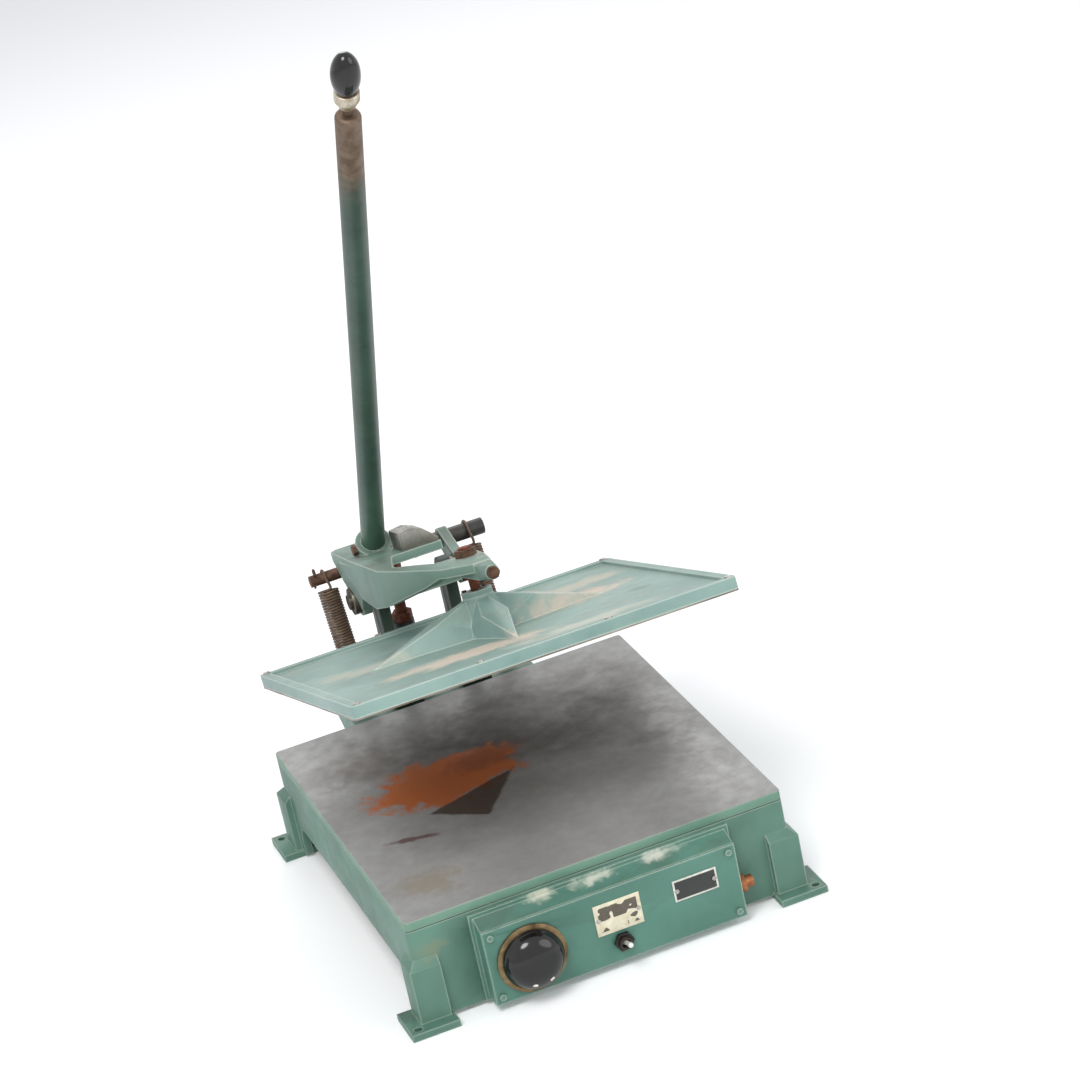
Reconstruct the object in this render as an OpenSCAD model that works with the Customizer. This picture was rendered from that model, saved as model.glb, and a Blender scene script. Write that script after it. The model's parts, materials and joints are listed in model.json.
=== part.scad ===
// Dry mounting press: a heated bed with a lever arm that swings a ribbed platen down onto it.
// X runs to the right, Y to the rear and Z up. The origin is on the floor, midway between the feet.
// The press is drawn open, as the lift springs hold it.

/* [Bed] */
// Width of the heated bed
bed_w = 376; // [340:1:420]
// Depth of the heated bed
bed_d = 416; // [380:1:460]
// Height of the bed's face above the floor
bed_top = 108; // [100:1:130]
// Thickness of the bed plate
bed_t = 10; // [6:0.5:14]
// Radius of the bed's upright corners
bed_r = 4; // [2:0.5:8]

/* [Base casting] */
// Thickness of the base's walls
wall_t = 8; // [6:0.5:12]
// Width of the inner ledge that carries the bed plate
ledge_w = 10; // [6:1:16]
// Thickness of that ledge
ledge_t = 8; // [5:1:12]
// Gap between the floor and the front and rear walls
wall_gap = 4; // [3:0.5:6]
// Height of the arch under each side wall
arch_h = 40; // [20:1:55]
// Radius of the arch's corners
arch_r = 22; // [10:1:30]
// Width of each leg along the walls
leg_w = 30; // [24:1:40]
// Height of the legs' raised faces
leg_h = 68; // [60:1:80]
// How far the legs stand out from the walls
leg_proud = 7; // [4:0.5:10]
// How far each foot reaches past its leg
foot_reach = 14; // [12:0.5:20]
// Thickness of the feet
foot_t = 7; // [5:0.5:10]
// Diameter of the bolt hole in each foot
foot_hole_d = 8; // [6:0.5:10]

/* [Rear shelf] */
// Width of the shelf behind the bed
shelf_w = 196; // [190:1:240]
// Depth of the shelf behind the bed
shelf_d = 112; // [105:1:130]
// Thickness of the shelf
shelf_t = 12; // [8:1:16]
// Thickness of the two gussets under the shelf
gusset_t = 8; // [6:1:12]

/* [Heater] */
// Diameter of the sheathed heating element
heater_d = 8; // [6:0.5:10]
// Number of straight runs of the element
heater_runs = 6; // [4:2:8]
// Distance between the runs
heater_pitch = 52; // [40:1:54]
// Length of the straight runs
heater_run_l = 290; // [220:1:300]
// Thickness of the plate that clamps the element
clamp_t = 3; // [2:0.5:4]
// Thickness of the insulation board
board_t = 8; // [6:1:12]
// Diameter of the clamp studs
stud_d = 6; // [5:0.5:8]

/* [Control box] */
// Width of the control box
box_w = 252; // [236:1:270]
// Height of the box's front
box_h = 77; // [72:1:80]
// Height of the box's lower edge above the floor
box_z = 8; // [7:0.5:10]
// How far the box stands out from the wall
box_d = 24; // [22:0.5:30]
// Thickness of the box's flange
flange_t = 3; // [2:0.5:5]
// How far the flange reaches past the box
flange_reach = 4; // [3:0.5:7]
// Thickness of the box's walls
box_wall = 4; // [3:0.5:5]
// Thickness of the front panel
panel_t = 2.5; // [2:0.5:4]
// Distance from the middle of the panel to the dial
dial_x = -84; // [-88:1:-74]
// Height of the dial's middle above the floor
dial_z = 45; // [43:1:50]
// Diameter of the dial's escutcheon ring
dial_d = 68; // [60:1:70]
// Diameter of the dial's spindle
spindle_d = 6; // [5:0.5:8]
// How far the dial knob stands out from the panel
knob_h = 24; // [20:1:30]
// Distance from the middle of the panel to the toggle
toggle_x = 4; // [0:1:12]
// Height of the toggle above the floor
toggle_z = 28; // [26:1:30]
// Diameter of the toggle's threaded bush
toggle_bush_d = 12; // [10:0.5:14]
// Tilt of the toggle's bat above level when up
toggle_tilt = 15; // [8:1:18]
// Width of the switch plate
switch_plate_w = 46; // [40:1:50]
// Height of the switch plate
switch_plate_h = 32; // [26:1:34]
// Width of the blank rating plate
rating_w = 44; // [36:1:50]
// Height of the blank rating plate
rating_h = 22; // [18:1:26]
// Thickness of both plates
plate_t = 0.8; // [0.5:0.1:1.5]
// Height of the cable gland above the floor
gland_z = 36; // [30:1:44]
// Diameter of the gland's cable bore
gland_bore_d = 8; // [6:0.5:8.5]

/* [Pivot] */
// Distance from the bed's rear edge to the pivot
pivot_back = 50; // [46:1:54]
// Height of the pivot above the bed's face
pivot_rise = 107; // [100:1:114]
// Diameter of the pivot shaft
shaft_d = 16; // [12:0.5:18]
// Distance from the middle to each post
post_x = 37; // [35:0.5:38]
// Thickness of each post
post_t = 12; // [8:0.5:14]
// Radius of the rounded top of each post
post_r = 16; // [14:0.5:18]
// Thickness of each post's foot
post_foot_t = 9; // [7:0.5:12]
// Wall of the bronze bushes
bush_t = 2.5; // [2:0.25:3.5]
// Running clearance of shafts and pins, on the radius
run_fit = 0.05; // [0.02:0.01:0.08]
// Gap between faces that slide past each other
side_gap = 0.4; // [0.3:0.1:0.8]

/* [Press arm] */
// Angle through which the lever closes the press
open_angle = 31; // [28:0.5:34]
// Slope of the open arm
arm_slope = 15; // [12:0.5:18]
// Height of the arm's deck above the pivot, square to the slope
deck_h = 52.5; // [50:0.5:58]
// Thickness of the deck
deck_t = 9; // [6:0.5:12]
// Half the width of the deck at its widest
deck_half = 71; // [68:0.5:74]
// Thickness of the arm's cheeks
cheek_t = 10; // [8:0.5:12]
// Distance from the middle to the outer face of each hub
hub_face = 58; // [57:0.5:62]
// Radius of the arm's hubs
hub_r = 17; // [15:0.5:19]
// Thickness of the arm's nose
nose_t = 16; // [13:0.5:20]

/* [Lever] */
// Diameter of the lever pole
pole_d = 24; // [20:0.5:28]
// Length of the lever pole above its socket's seat
pole_l = 610; // [500:5:660]
// Forward lean of the pole when the press is open
pole_lean = 29; // [22:0.5:34]
// Distance of the pole to the left of the middle
pole_x = 40; // [38:0.5:44]
// Length of the egg-shaped knob
knob_l = 44; // [36:1:52]
// Diameter of the egg-shaped knob
knob_d = 27; // [22:0.5:32]

/* [Lift springs] */
// Distance of the cross bar behind the pivot
bar_back = 42; // [40:0.5:46]
// Height of the cross bar above the pivot
bar_rise = 16; // [12:0.5:20]
// Diameter of the cross bar
bar_d = 12; // [10:0.5:13]
// Outer diameter of the black sleeve on the bar
sleeve_d = 17; // [16:0.5:18]
// Distance from the middle to each spring
spring_x = 78; // [76:0.5:82]
// Diameter of the spring wire
wire_d = 2.8; // [2.2:0.1:3.0]
// Outer diameter of the springs
spring_od = 22; // [20:0.5:24]
// Gap between neighbouring coils of the open press
coil_gap = 0.7; // [0.5:0.05:0.9]
// Distance of the spring eyes behind the bed's rear edge
eye_back = 48; // [44:0.5:54]
// Radius of the eyes, to the middle of their wire
eye_r = 8; // [7.5:0.5:9]
// Diameter of the eyes' wire
eye_wire_d = 5; // [4:0.5:5.5]

/* [Platen] */
// Width of the platen
platen_w = 374; // [340:1:410]
// Depth of the platen
platen_d = 414; // [370:1:450]
// Thickness of the platen's plate
platen_t = 8; // [6:0.5:10]
// Height of the rim above the plate
rim_h = 4; // [2:0.5:6]
// Width of the rim
rim_w = 9; // [6:0.5:14]
// Thickness of the sheet under the platen
sheet_t = 1.5; // [1:0.25:3]
// Gap left between the closed sheet and the bed
seat_gap = 0.5; // [0.4:0.1:1]
// Upward tilt of the open platen's front
platen_tilt = 18; // [14:0.5:20]
// Height of the ball's middle above the rim
ball_h = 29; // [26:0.5:32]
// Radius of the ball
ball_r = 9; // [8:0.5:10]
// Reach of the side ribs from the ball
rib_x = 118; // [100:1:140]
// Reach of the front and rear ribs from the ball
rib_y = 108; // [90:1:130]

/* [Hidden] */

// Smoothness of round parts
$fn = 48;
// Overlap of cutters past the faces that they cut
eps = 1;
// Gap between neighbours that seat on each other without touching
seat = 0.3;
// Clearance of fasteners in their holes, on the radius
screw_fit = 0.1;

// Base
half_w = bed_w/2;
half_d = bed_d/2;
base_top = bed_top - bed_t;
leg_x = half_w + leg_proud;
leg_y = half_d + leg_proud;
foot_x = leg_x + foot_reach;
foot_y = leg_y + foot_reach;
foot_hole_in = 8.5;
foot_hole_x = foot_x - foot_hole_in;
foot_hole_y = foot_y - foot_hole_in;
foot_in = leg_w + 3;
shelf_end = half_d + shelf_d;
shelf_z = base_top - shelf_t;
gusset_x = shelf_w/2 - gusset_t;
gusset_h = 50;

// Heater stack under the bed, from the top down
heater_z = base_top - heater_d/2;
heater_x0 = -(heater_runs - 1)*heater_pitch/2;
clamp_z = base_top - heater_d - clamp_t;
board_z = clamp_z - board_t;
clamp_w = (heater_runs - 1)*heater_pitch + heater_d + 24;
clamp_d = heater_run_l + heater_pitch;
stud_drop = 12;
stud_nut_h = 5;

// Control box
box_y = -half_d - box_d;
box_top = box_z + box_h;
box_back_top = box_top + 6;
panel_back = box_y + panel_t;
panel_front = box_y;
screw_in = 7;
panel_screw_r = 1.75;
box_screw_r = 2;
hatch_in = 14;
hatch_up = 12;
thermo_w = 50;
thermo_h = 48;
thermo_d = 40;
thermo_step = 8;
dial_ring_t = 3;
knob_r = dial_d/2 - 5;
toggle_body_w = 14;
toggle_body_h = 20;
toggle_body_d = 19;
toggle_bush_l = 8;
toggle_nut_t = 4;
toggle_pivot_y = panel_front - 2;
toggle_ball_r = 3.2;
switch_plate_z = toggle_z + 28;
rating_x = 82;
rating_z = 58;
gland_y = (box_y - half_d - flange_t)/2;
gland_l = 14;
gland_r = gland_bore_d/2 + 2;
terminal_x = box_w/2 - 62;
terminal_z = 20;
lead_r = 1.5;
heater_tail = 18;
rivet_r = 1.1;

// Pivot and arm
pivot_y = half_d + pivot_back;
pivot_z = bed_top + pivot_rise;
shaft_r = shaft_d/2;
post_foot_w = 30;
post_foot_d = 66;
post_bolt_y = 24;
post_bolt_d = 8;
cheek_in = hub_face - cheek_t;
collar_t = 7;
shaft_half = hub_face + side_gap + collar_t;
nose_half = 8;
nose_v = -352;
ball_closed_y = -2;
ball_closed_z = bed_top + seat_gap + sheet_t + platen_t + rim_h + ball_h;
ball_dy = ball_closed_y - pivot_y;
ball_dz = ball_closed_z - pivot_z;
ball_y = pivot_y + ball_dy*cos(open_angle) + ball_dz*sin(open_angle);
ball_z = pivot_z - ball_dy*sin(open_angle) + ball_dz*cos(open_angle);
// The ball in the arm's own frame
ball_v = (ball_y - pivot_y)*cos(arm_slope) - (ball_z - pivot_z)*sin(arm_slope);
ball_w = (ball_y - pivot_y)*sin(arm_slope) + (ball_z - pivot_z)*cos(arm_slope);
stud_r = 6;
// Block on the deck, with a long slope to its right
block_x0 = -27;
block_w = 38;
block_v0 = -126;
block_d = 38;
block_h = 20;
block_peak = 13;
block_shoulder = 25;
deck_low = deck_h - deck_t;
boss_r = 13;
boss_rear = ball_v + boss_r;
// Plan of the deck in the arm's frame: its left edge from the rear to the nose, then back along its right edge
deck_outline = [[-deck_half + 9, 20], [-deck_half + 2, 12], [-deck_half, -75], [-deck_half, -190],
    [-deck_half + 15, -238], [-34, -298], [-nose_half - 1, nose_v + 30], [nose_half + 1, nose_v + 30],
    [boss_r + 1, ball_v - 16], [boss_r + 1, boss_rear], [-14, boss_rear], [-28, -252], [-40, -226],
    [-deck_half + 15, -198], [-40, block_v0 - 4], [block_x0 + block_w + 1, block_v0 - 4],
    [block_x0 + block_w + 1, block_v0 + block_d], [5, -60], [-5, 20]];
// Plan of the left wall, and its side view from the rear to the nose
wall_plan = [[-deck_half, -20], [-deck_half, -190], [-deck_half + 15, -238], [-34, -298], [-22, -292],
    [-deck_half + 15 + cheek_t, -232], [-deck_half + cheek_t, -187], [-deck_half + cheek_t, -20]];
wall_side = [[-26, deck_low + 3], [-58, 31], [-89, 14], [-141, 9], [-190, 16], [-235, 27], [-266, 35],
    [-291, deck_low], [-291, deck_low + 3]];
leg_r = 11;
web_t = 8;
web_rear_v = -36;
web_front_v = -154;

// Lever
pole_v = -58;
socket_r = pole_d/2 + 6;
socket_up = 14;
socket_down = 20;
pole_in = 16;
set_screw_up = 9;
neck_d = 9;
neck_l = 8;
ferrule_h = 20;
ferrule_d = 23;

// Cross bar and springs
bar_y = pivot_y + bar_back;
bar_z = pivot_z + bar_rise;
bar_v = bar_back*cos(arm_slope) - bar_rise*sin(arm_slope);
bar_w = bar_back*sin(arm_slope) + bar_rise*cos(arm_slope);
bar_r = bar_d/2;
sleeve_r = sleeve_d/2;
bar_left = -(spring_x + 15);
bar_right = spring_x + 12;
sleeve_from = 28;
sleeve_to = bar_right + 6;
lug_r = 14;
eye_y = half_d + eye_back;
eye_z = base_top + eye_r + eye_wire_d/2 + 1.5;
wire_r = wire_d/2;
coil_r = spring_od/2 - wire_r;
// Middle of the lower hook, seated on the eye
hook_r = bar_r + seat + wire_r;
low_hook_r = eye_wire_d/2 + seat + wire_r + 1.5;
low_hook_z = eye_z + eye_r - eye_wire_d/2 - seat - wire_r + low_hook_r;
spring_dy = bar_y - eye_y;
spring_dz = bar_z - low_hook_z;
spring_l = sqrt(spring_dy*spring_dy + spring_dz*spring_dz);
spring_lean = atan2(spring_dy, spring_dz);
coil_pitch = wire_d + coil_gap;
curl_rings = 8;
hook_gap = 5;

// Stop
pedestal_w = 26;
pedestal_d = 24;
pedestal_h = 62;
stop_x = -8;
stop_y = bar_y - 2;
stop_d = 12;
stop_top = bar_z - bar_r - seat;
stop_head_h = 8;
stop_head_d = 19;

// Platen, in a frame whose origin is the ball's middle
rim_top = -ball_h;
plate_top = rim_top - rim_h;
plate_low = plate_top - platen_t;
boss_top = 3;
boss_r_top = 15;
boss_r_low = 30;
cap_t = 6;
cap_screw_r = 1.25;
socket_gap = 0.3;
rib_half = 17;
rim_screw_r = 2;

// Box with rounded upright corners, centred in X and Y and standing on Z = 0
module rounded_slab(w, d, h, r) {
    translate([-w/2 + r, -d/2, 0]) cube([w - 2*r, d, h]);
    translate([-w/2, -d/2 + r, 0]) cube([w, d - 2*r, h]);
    for (sx = [-1, 1], sy = [-1, 1]) translate([sx*(w/2 - r), sy*(d/2 - r), 0]) cylinder(r = r, h = h);
}

// Copies a piece of the front right corner to all four corners
module four_corners() {
    for (sx = [0, 1], sy = [0, 1]) mirror([sx, 0, 0]) mirror([0, sy, 0]) children();
}

// Copies a piece of the right half to the left
module both_sides() {
    for (sx = [0, 1]) mirror([sx, 0, 0]) children();
}

// Hexagonal head or nut, standing on Z = 0
module hexagon(across, h) {
    cylinder(d = across/cos(30), h = h, $fn = 6);
}

// Cylinder along X, from x0 to x1
module x_rod(r, x0, x1) {
    translate([x0, 0, 0]) rotate([0, 90, 0]) cylinder(r = r, h = x1 - x0);
}

// Cylinder along Y, from y0 to y1
module y_rod(r, y0, y1) {
    translate([0, y0, 0]) rotate([-90, 0, 0]) cylinder(r = r, h = y1 - y0);
}

// Outline in (y, z) made a prism along X, from x0 to x1
module x_prism(points, x0, x1) {
    translate([x0, 0, 0]) rotate([90, 0, 90]) linear_extrude(x1 - x0) polygon(points);
}

// Frame of the press arm: origin at the pivot, Y along the deck to the rear, Z square to the deck
module arm_frame() {
    translate([0, pivot_y, pivot_z]) rotate([-arm_slope, 0, 0]) children();
}

// Frame of the pole: origin on the deck, Z up the pole
module pole_frame() {
    arm_frame() translate([-pole_x, pole_v, deck_h]) rotate([pole_lean + arm_slope, 0, 0]) children();
}

// Frame of the platen: origin at the ball's middle, Z square to the plate
module platen_frame() {
    translate([0, ball_y, ball_z]) rotate([-platen_tilt, 0, 0]) children();
}

// Base casting
module leg_slope(x0, x1) {
    // Sloped top of a raised face, measured from the leg's corner
    x_prism([[-leg_proud, -eps], [-leg_proud, 0], [0, leg_proud], [bed_r + 1, leg_proud], [bed_r + 1, -eps]],
        x0, x1);
}

module leg() {
    // Angle-shaped leg with a raised face on each wall, sloped at its top, and its foot
    difference() {
        union() {
            translate([leg_x - leg_w, -leg_y, 0]) cube([leg_w, leg_w, leg_h - leg_proud]);
            translate([half_w, -half_d, leg_h - leg_proud]) {
                for (m = [0, 1]) mirror([m, m, 0]) leg_slope(leg_proud - leg_w, 0);
                intersection() {
                    leg_slope(0, leg_proud);
                    mirror([1, 1, 0]) leg_slope(0, leg_proud);
                }
            }
            translate([foot_x - foot_in - foot_reach, -foot_y, 0])
                cube([foot_in + foot_reach, foot_in + foot_reach, foot_t]);
        }
        translate([half_w - leg_w - eps, -half_d + wall_t, foot_t])
            cube([leg_w - wall_t + eps, leg_w + eps, base_top]);
        translate([foot_hole_x, -foot_hole_y, -eps]) cylinder(d = foot_hole_d, h = foot_t + 2*eps);
    }
}

module side_arch() {
    // Opening under a side wall, with round upper corners
    arch_half = half_d - leg_w - 2;
    rotate([90, 0, 90]) linear_extrude(wall_t + 2*eps) union() {
        translate([-arch_half, -eps]) square([2*arch_half, arch_h - arch_r + eps]);
        translate([-arch_half + arch_r, -eps]) square([2*(arch_half - arch_r), arch_h + eps]);
        for (s = [-1, 1]) translate([s*(arch_half - arch_r), arch_h - arch_r]) circle(arch_r);
    }
}

module rear_shelf() {
    // Shelf that carries the posts, the springs and the stop
    translate([-shelf_w/2, half_d - wall_t, shelf_z]) cube([shelf_w, shelf_d + wall_t, shelf_t]);
    both_sides() x_prism([[half_d - wall_t/2, shelf_z - gusset_h], [shelf_end - 8, shelf_z + eps],
        [half_d - wall_t/2, shelf_z + eps]], gusset_x, gusset_x + gusset_t);
}

module base_casting() color([0.37, 0.55, 0.47]) {
    difference() {
        union() {
            difference() {
                translate([0, 0, wall_gap]) rounded_slab(bed_w, bed_d, base_top - wall_gap, bed_r);
                translate([-half_w + wall_t, -half_d + wall_t, 0])
                    cube([bed_w - 2*wall_t, bed_d - 2*wall_t, base_top - ledge_t]);
                translate([-half_w + wall_t + ledge_w, -half_d + wall_t + ledge_w, 0])
                    cube([bed_w - 2*(wall_t + ledge_w), bed_d - 2*(wall_t + ledge_w), bed_top]);
                both_sides() translate([half_w - wall_t - eps, 0, 0]) side_arch();
            }
            four_corners() leg();
            rear_shelf();
        }
        // Opening in the front wall behind the control box
        translate([-box_w/2 + hatch_in, -half_d - eps, box_z + hatch_up])
            cube([box_w - 2*hatch_in, wall_t + 2*eps, box_h - 2*hatch_up]);
        box_corners() y_rod(box_screw_r + screw_fit, -half_d - eps, -half_d + wall_t + eps);
        four_corners() translate([foot_hole_x, -foot_hole_y, -eps])
            cylinder(d = foot_hole_d, h = foot_t + 2*eps);
        both_sides() {
            for (s = [-1, 1]) translate([post_x, pivot_y + s*post_bolt_y, shelf_z - eps])
                cylinder(d = post_bolt_d + 2*screw_fit, h = shelf_t + 2*eps);
            translate([spring_x, eye_y, shelf_z - eps])
                cylinder(d = eye_wire_d + 2*screw_fit, h = shelf_t + 2*eps);
        }
    }
}

module bed_plate() color([0.62, 0.62, 0.6]) {
    translate([0, 0, base_top]) rounded_slab(bed_w, bed_d, bed_t, bed_r);
}

// Heater
module heating_element() color([0.45, 0.42, 0.4]) {
    // Straight runs joined by half turns, like a hairpin that doubles back
    for (i = [0:heater_runs - 1]) translate([heater_x0 + i*heater_pitch, 0, heater_z])
        y_rod(heater_d/2, -heater_run_l/2 - (i == 0 || i == heater_runs - 1 ? heater_tail : 0), heater_run_l/2);
    for (i = [0:heater_runs - 2]) {
        s = i%2 == 0 ? 1 : -1;
        translate([heater_x0 + (i + 0.5)*heater_pitch, s*heater_run_l/2, heater_z])
            rotate([0, 0, s > 0 ? 0 : 180])
            rotate_extrude(angle = 180) translate([heater_pitch/2, 0]) circle(d = heater_d, $fn = 32);
    }
}

module stud_places() {
    for (sx = [-1, 1], sy = [-1, 0, 1])
        translate([sx*heater_pitch, sy*(heater_run_l/2 - 20), 0]) children();
}

module heater_clamp_plate() color([0.6, 0.6, 0.58]) difference() {
    translate([0, 0, clamp_z]) rounded_slab(clamp_w, clamp_d, clamp_t, 6);
    stud_places() translate([0, 0, clamp_z - eps]) cylinder(d = stud_d + 2*screw_fit, h = clamp_t + 2*eps);
}

module insulation_board() color([0.85, 0.83, 0.76]) difference() {
    translate([0, 0, board_z]) rounded_slab(clamp_w, clamp_d, board_t, 6);
    stud_places() translate([0, 0, board_z - eps]) cylinder(d = stud_d + 2*screw_fit, h = board_t + 2*eps);
}

module heater_studs() color([0.55, 0.53, 0.5]) stud_places() {
    translate([0, 0, board_z - stud_drop]) cylinder(d = stud_d, h = base_top - board_z + stud_drop);
    translate([0, 0, board_z - stud_nut_h]) hexagon(10, stud_nut_h);
}

// Control box
module box_shape(inset) {
    // Box outline in (y, z), drawn in by the given wall
    back = -half_d + eps;
    x_prism([[box_y + panel_t, box_z + inset], [back, box_z + inset], [back, box_back_top - inset],
        [-half_d - flange_t, box_back_top - inset], [box_y + panel_t, box_top - inset]],
        -box_w/2 + inset, box_w/2 - inset);
}

module control_box() color([0.36, 0.56, 0.47]) difference() {
    union() {
        intersection() {
            box_shape(0);
            translate([-box_w, box_y, 0]) cube([2*box_w, box_d, bed_top]);
        }
        translate([-box_w/2 - flange_reach, -half_d - flange_t, wall_gap + 1])
            cube([box_w + 2*flange_reach, flange_t, box_back_top + flange_reach - wall_gap - 1]);
    }
    difference() {
        box_shape(box_wall);
        box_corners() y_rod(5, box_y, -half_d);
    }
    box_corners() {
        y_rod(panel_screw_r + screw_fit, box_y - eps, box_y + panel_t + 10);
        y_rod(box_screw_r + screw_fit, -half_d - 10, -half_d + 2*eps);
    }
    // Seat of the cable gland in the right end
    translate([0, gland_y, gland_z]) x_rod(gland_r + screw_fit, box_w/2 - box_wall - eps, box_w/2 + eps);
}

module box_corners() {
    for (sx = [-1, 1], z = [box_z + screw_in, box_top - screw_in])
        translate([sx*(box_w/2 - screw_in), 0, z]) children();
}

module control_panel() color([0.38, 0.57, 0.48]) difference() {
    translate([-box_w/2, box_y, box_z]) cube([box_w, panel_t, box_h]);
    box_corners() y_rod(panel_screw_r + screw_fit, box_y - eps, box_y + panel_t + eps);
    translate([dial_x, 0, dial_z]) y_rod(spindle_d/2 + 2, box_y - eps, box_y + panel_t + eps);
    translate([toggle_x, 0, toggle_z]) y_rod(toggle_bush_d/2 + screw_fit, box_y - eps, box_y + panel_t + eps);
    rivet_places() y_rod(rivet_r + screw_fit, box_y - eps, box_y + panel_t + eps);
}

module panel_screws() color([0.5, 0.55, 0.5]) box_corners() {
    difference() {
        y_rod(3.2, box_y - 1.8, box_y);
        translate([-4, box_y - 2.8, -0.4]) cube([8, 1.8, 0.8]);
    }
    y_rod(panel_screw_r, box_y - 0.5, box_y + panel_t + 9);
}

// Screws that hold the box, put in from inside the base
module box_screws() color([0.5, 0.5, 0.47]) box_corners() {
    y_rod(box_screw_r, -half_d - 9, -half_d + wall_t);
    y_rod(2*box_screw_r, -half_d + wall_t, -half_d + wall_t + 2.5);
}

module thermostat_body() color([0.3, 0.28, 0.26]) translate([dial_x, 0, dial_z]) difference() {
    union() {
        translate([-thermo_w/2, panel_back, -thermo_h/2]) cube([thermo_w, thermo_d, thermo_h]);
        translate([-thermo_w/2 + thermo_step, panel_back + thermo_d, -thermo_h/2 + thermo_step])
            cube([thermo_w - 2*thermo_step, 8, thermo_h - 2*thermo_step]);
        y_rod(spindle_d/2 + 1.8, box_y + 0.2, panel_back + eps);
    }
    y_rod(spindle_d/2 + run_fit, box_y - eps, panel_back + 12);
}

module thermostat_bulb() color([0.72, 0.45, 0.3]) {
    // Sensing bulb under the bed and its thin tube down to the thermostat
    bulb_x = heater_x0 + heater_pitch/2 + 6;
    bulb_y = -heater_run_l/2 + 30;
    tube_y = -half_d + wall_t + ledge_w + 4;
    tube_z = dial_z + thermo_h/2 - thermo_step;
    translate([bulb_x, 0, base_top - 4]) y_rod(3.6, bulb_y, bulb_y + 80);
    translate([bulb_x, 0, base_top - 4]) y_rod(1.2, tube_y, bulb_y + eps);
    translate([bulb_x, tube_y, tube_z]) cylinder(r = 1.2, h = base_top - 4 - tube_z);
    translate([bulb_x, tube_y, base_top - 4]) sphere(r = 1.2);
}

module dial_escutcheon() color([0.7, 0.58, 0.35]) translate([dial_x, 0, dial_z]) difference() {
    y_rod(dial_d/2, box_y - dial_ring_t, box_y);
    y_rod(knob_r - 6, box_y - dial_ring_t - eps, box_y - 1);
    y_rod(spindle_d/2 + 2, box_y - 2*eps, box_y + eps);
}

module dial_spindle() color([0.7, 0.7, 0.68]) translate([dial_x, 0, dial_z])
    y_rod(spindle_d/2, box_y - knob_h + 8, panel_back + 11);

module dial_knob() color([0.05, 0.05, 0.05]) translate([dial_x, box_y, dial_z]) difference() {
    rotate([90, 0, 0]) rotate_extrude() polygon(concat([[0, dial_ring_t + side_gap]],
        [[knob_r - 1, dial_ring_t + side_gap], [knob_r, dial_ring_t + 2.5], [knob_r, dial_ring_t + 5]],
        [for (a = [0:15:90]) [(knob_r - 1)*cos(a), dial_ring_t + 7 + (knob_h - dial_ring_t - 7)*sin(a)]]));
    y_rod(spindle_d/2 + run_fit, -knob_h + 8 - run_fit, eps);
    translate([0, -(dial_ring_t + 5), 0]) cylinder(r = 1.6 + screw_fit, h = knob_r + eps);
    for (a = [-60, -120]) rotate([0, -a, 0]) translate([knob_r*0.66, 0, 0]) y_rod(1.8, -knob_h, -knob_h*0.62);
}

module knob_screw() color([0.6, 0.6, 0.58])
    translate([dial_x, box_y - dial_ring_t - 5, dial_z + spindle_d/2 + 0.2])
    cylinder(r = 1.6, h = knob_r - spindle_d/2 - 4);

// Switch
module toggle_body() color([0.12, 0.12, 0.12]) translate([toggle_x, 0, toggle_z]) difference() {
    union() {
        translate([-toggle_body_w/2, panel_back, -toggle_body_h/2])
            cube([toggle_body_w, toggle_body_d, toggle_body_h]);
        y_rod(toggle_bush_d/2, box_y - toggle_bush_l, panel_back + eps);
    }
    translate([0, box_y - toggle_bush_l - eps, 0]) rotate([-90, 0, 0])
        cylinder(r1 = toggle_bush_d/2 - 1.2, r2 = toggle_ball_r + 0.6, h = toggle_bush_l + 2);
    translate([0, toggle_pivot_y, 0]) sphere(r = toggle_ball_r + socket_gap);
}

module toggle_nut() color([0.1, 0.1, 0.1]) translate([toggle_x, 0, toggle_z]) difference() {
    rotate([90, 0, 0]) translate([0, 0, -box_y]) hexagon(17, toggle_nut_t);
    y_rod(toggle_bush_d/2 + screw_fit, box_y - toggle_nut_t - eps, box_y + eps);
}

module toggle_bat() color([0.8, 0.8, 0.8])
    translate([toggle_x, toggle_pivot_y, toggle_z]) rotate([-toggle_tilt, 0, 0]) {
    sphere(r = toggle_ball_r);
    rotate([90, 0, 0]) cylinder(r1 = 1.7, r2 = 2.6, h = 19);
    rotate([90, 0, 0]) translate([0, 0, 19]) sphere(r = 2.6);
}

// Plates
module rivet_places() {
    for (sx = [-1, 1]) {
        translate([toggle_x + sx*(switch_plate_w/2 - 3), 0, switch_plate_z]) children();
        translate([rating_x + sx*(rating_w/2 - 3), 0, rating_z]) children();
    }
}

module bare_plate(x, z, w, h) {
    translate([x - w/2, box_y - plate_t, z - h/2]) cube([w, plate_t, h]);
}

module switch_plate() color([0.85, 0.82, 0.7]) difference() {
    bare_plate(toggle_x, switch_plate_z, switch_plate_w, switch_plate_h);
    rivet_places() y_rod(rivet_r + screw_fit, box_y - plate_t - eps, box_y + eps);
}

module rating_plate() color([0.2, 0.2, 0.2]) difference() {
    bare_plate(rating_x, rating_z, rating_w, rating_h);
    rivet_places() y_rod(rivet_r + screw_fit, box_y - plate_t - eps, box_y + eps);
}

module plate_rivets() color([0.75, 0.75, 0.72]) rivet_places() {
    y_rod(rivet_r, box_y - plate_t, box_y + panel_t);
    y_rod(2*rivet_r, box_y - plate_t - 0.8, box_y - plate_t);
}

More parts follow.
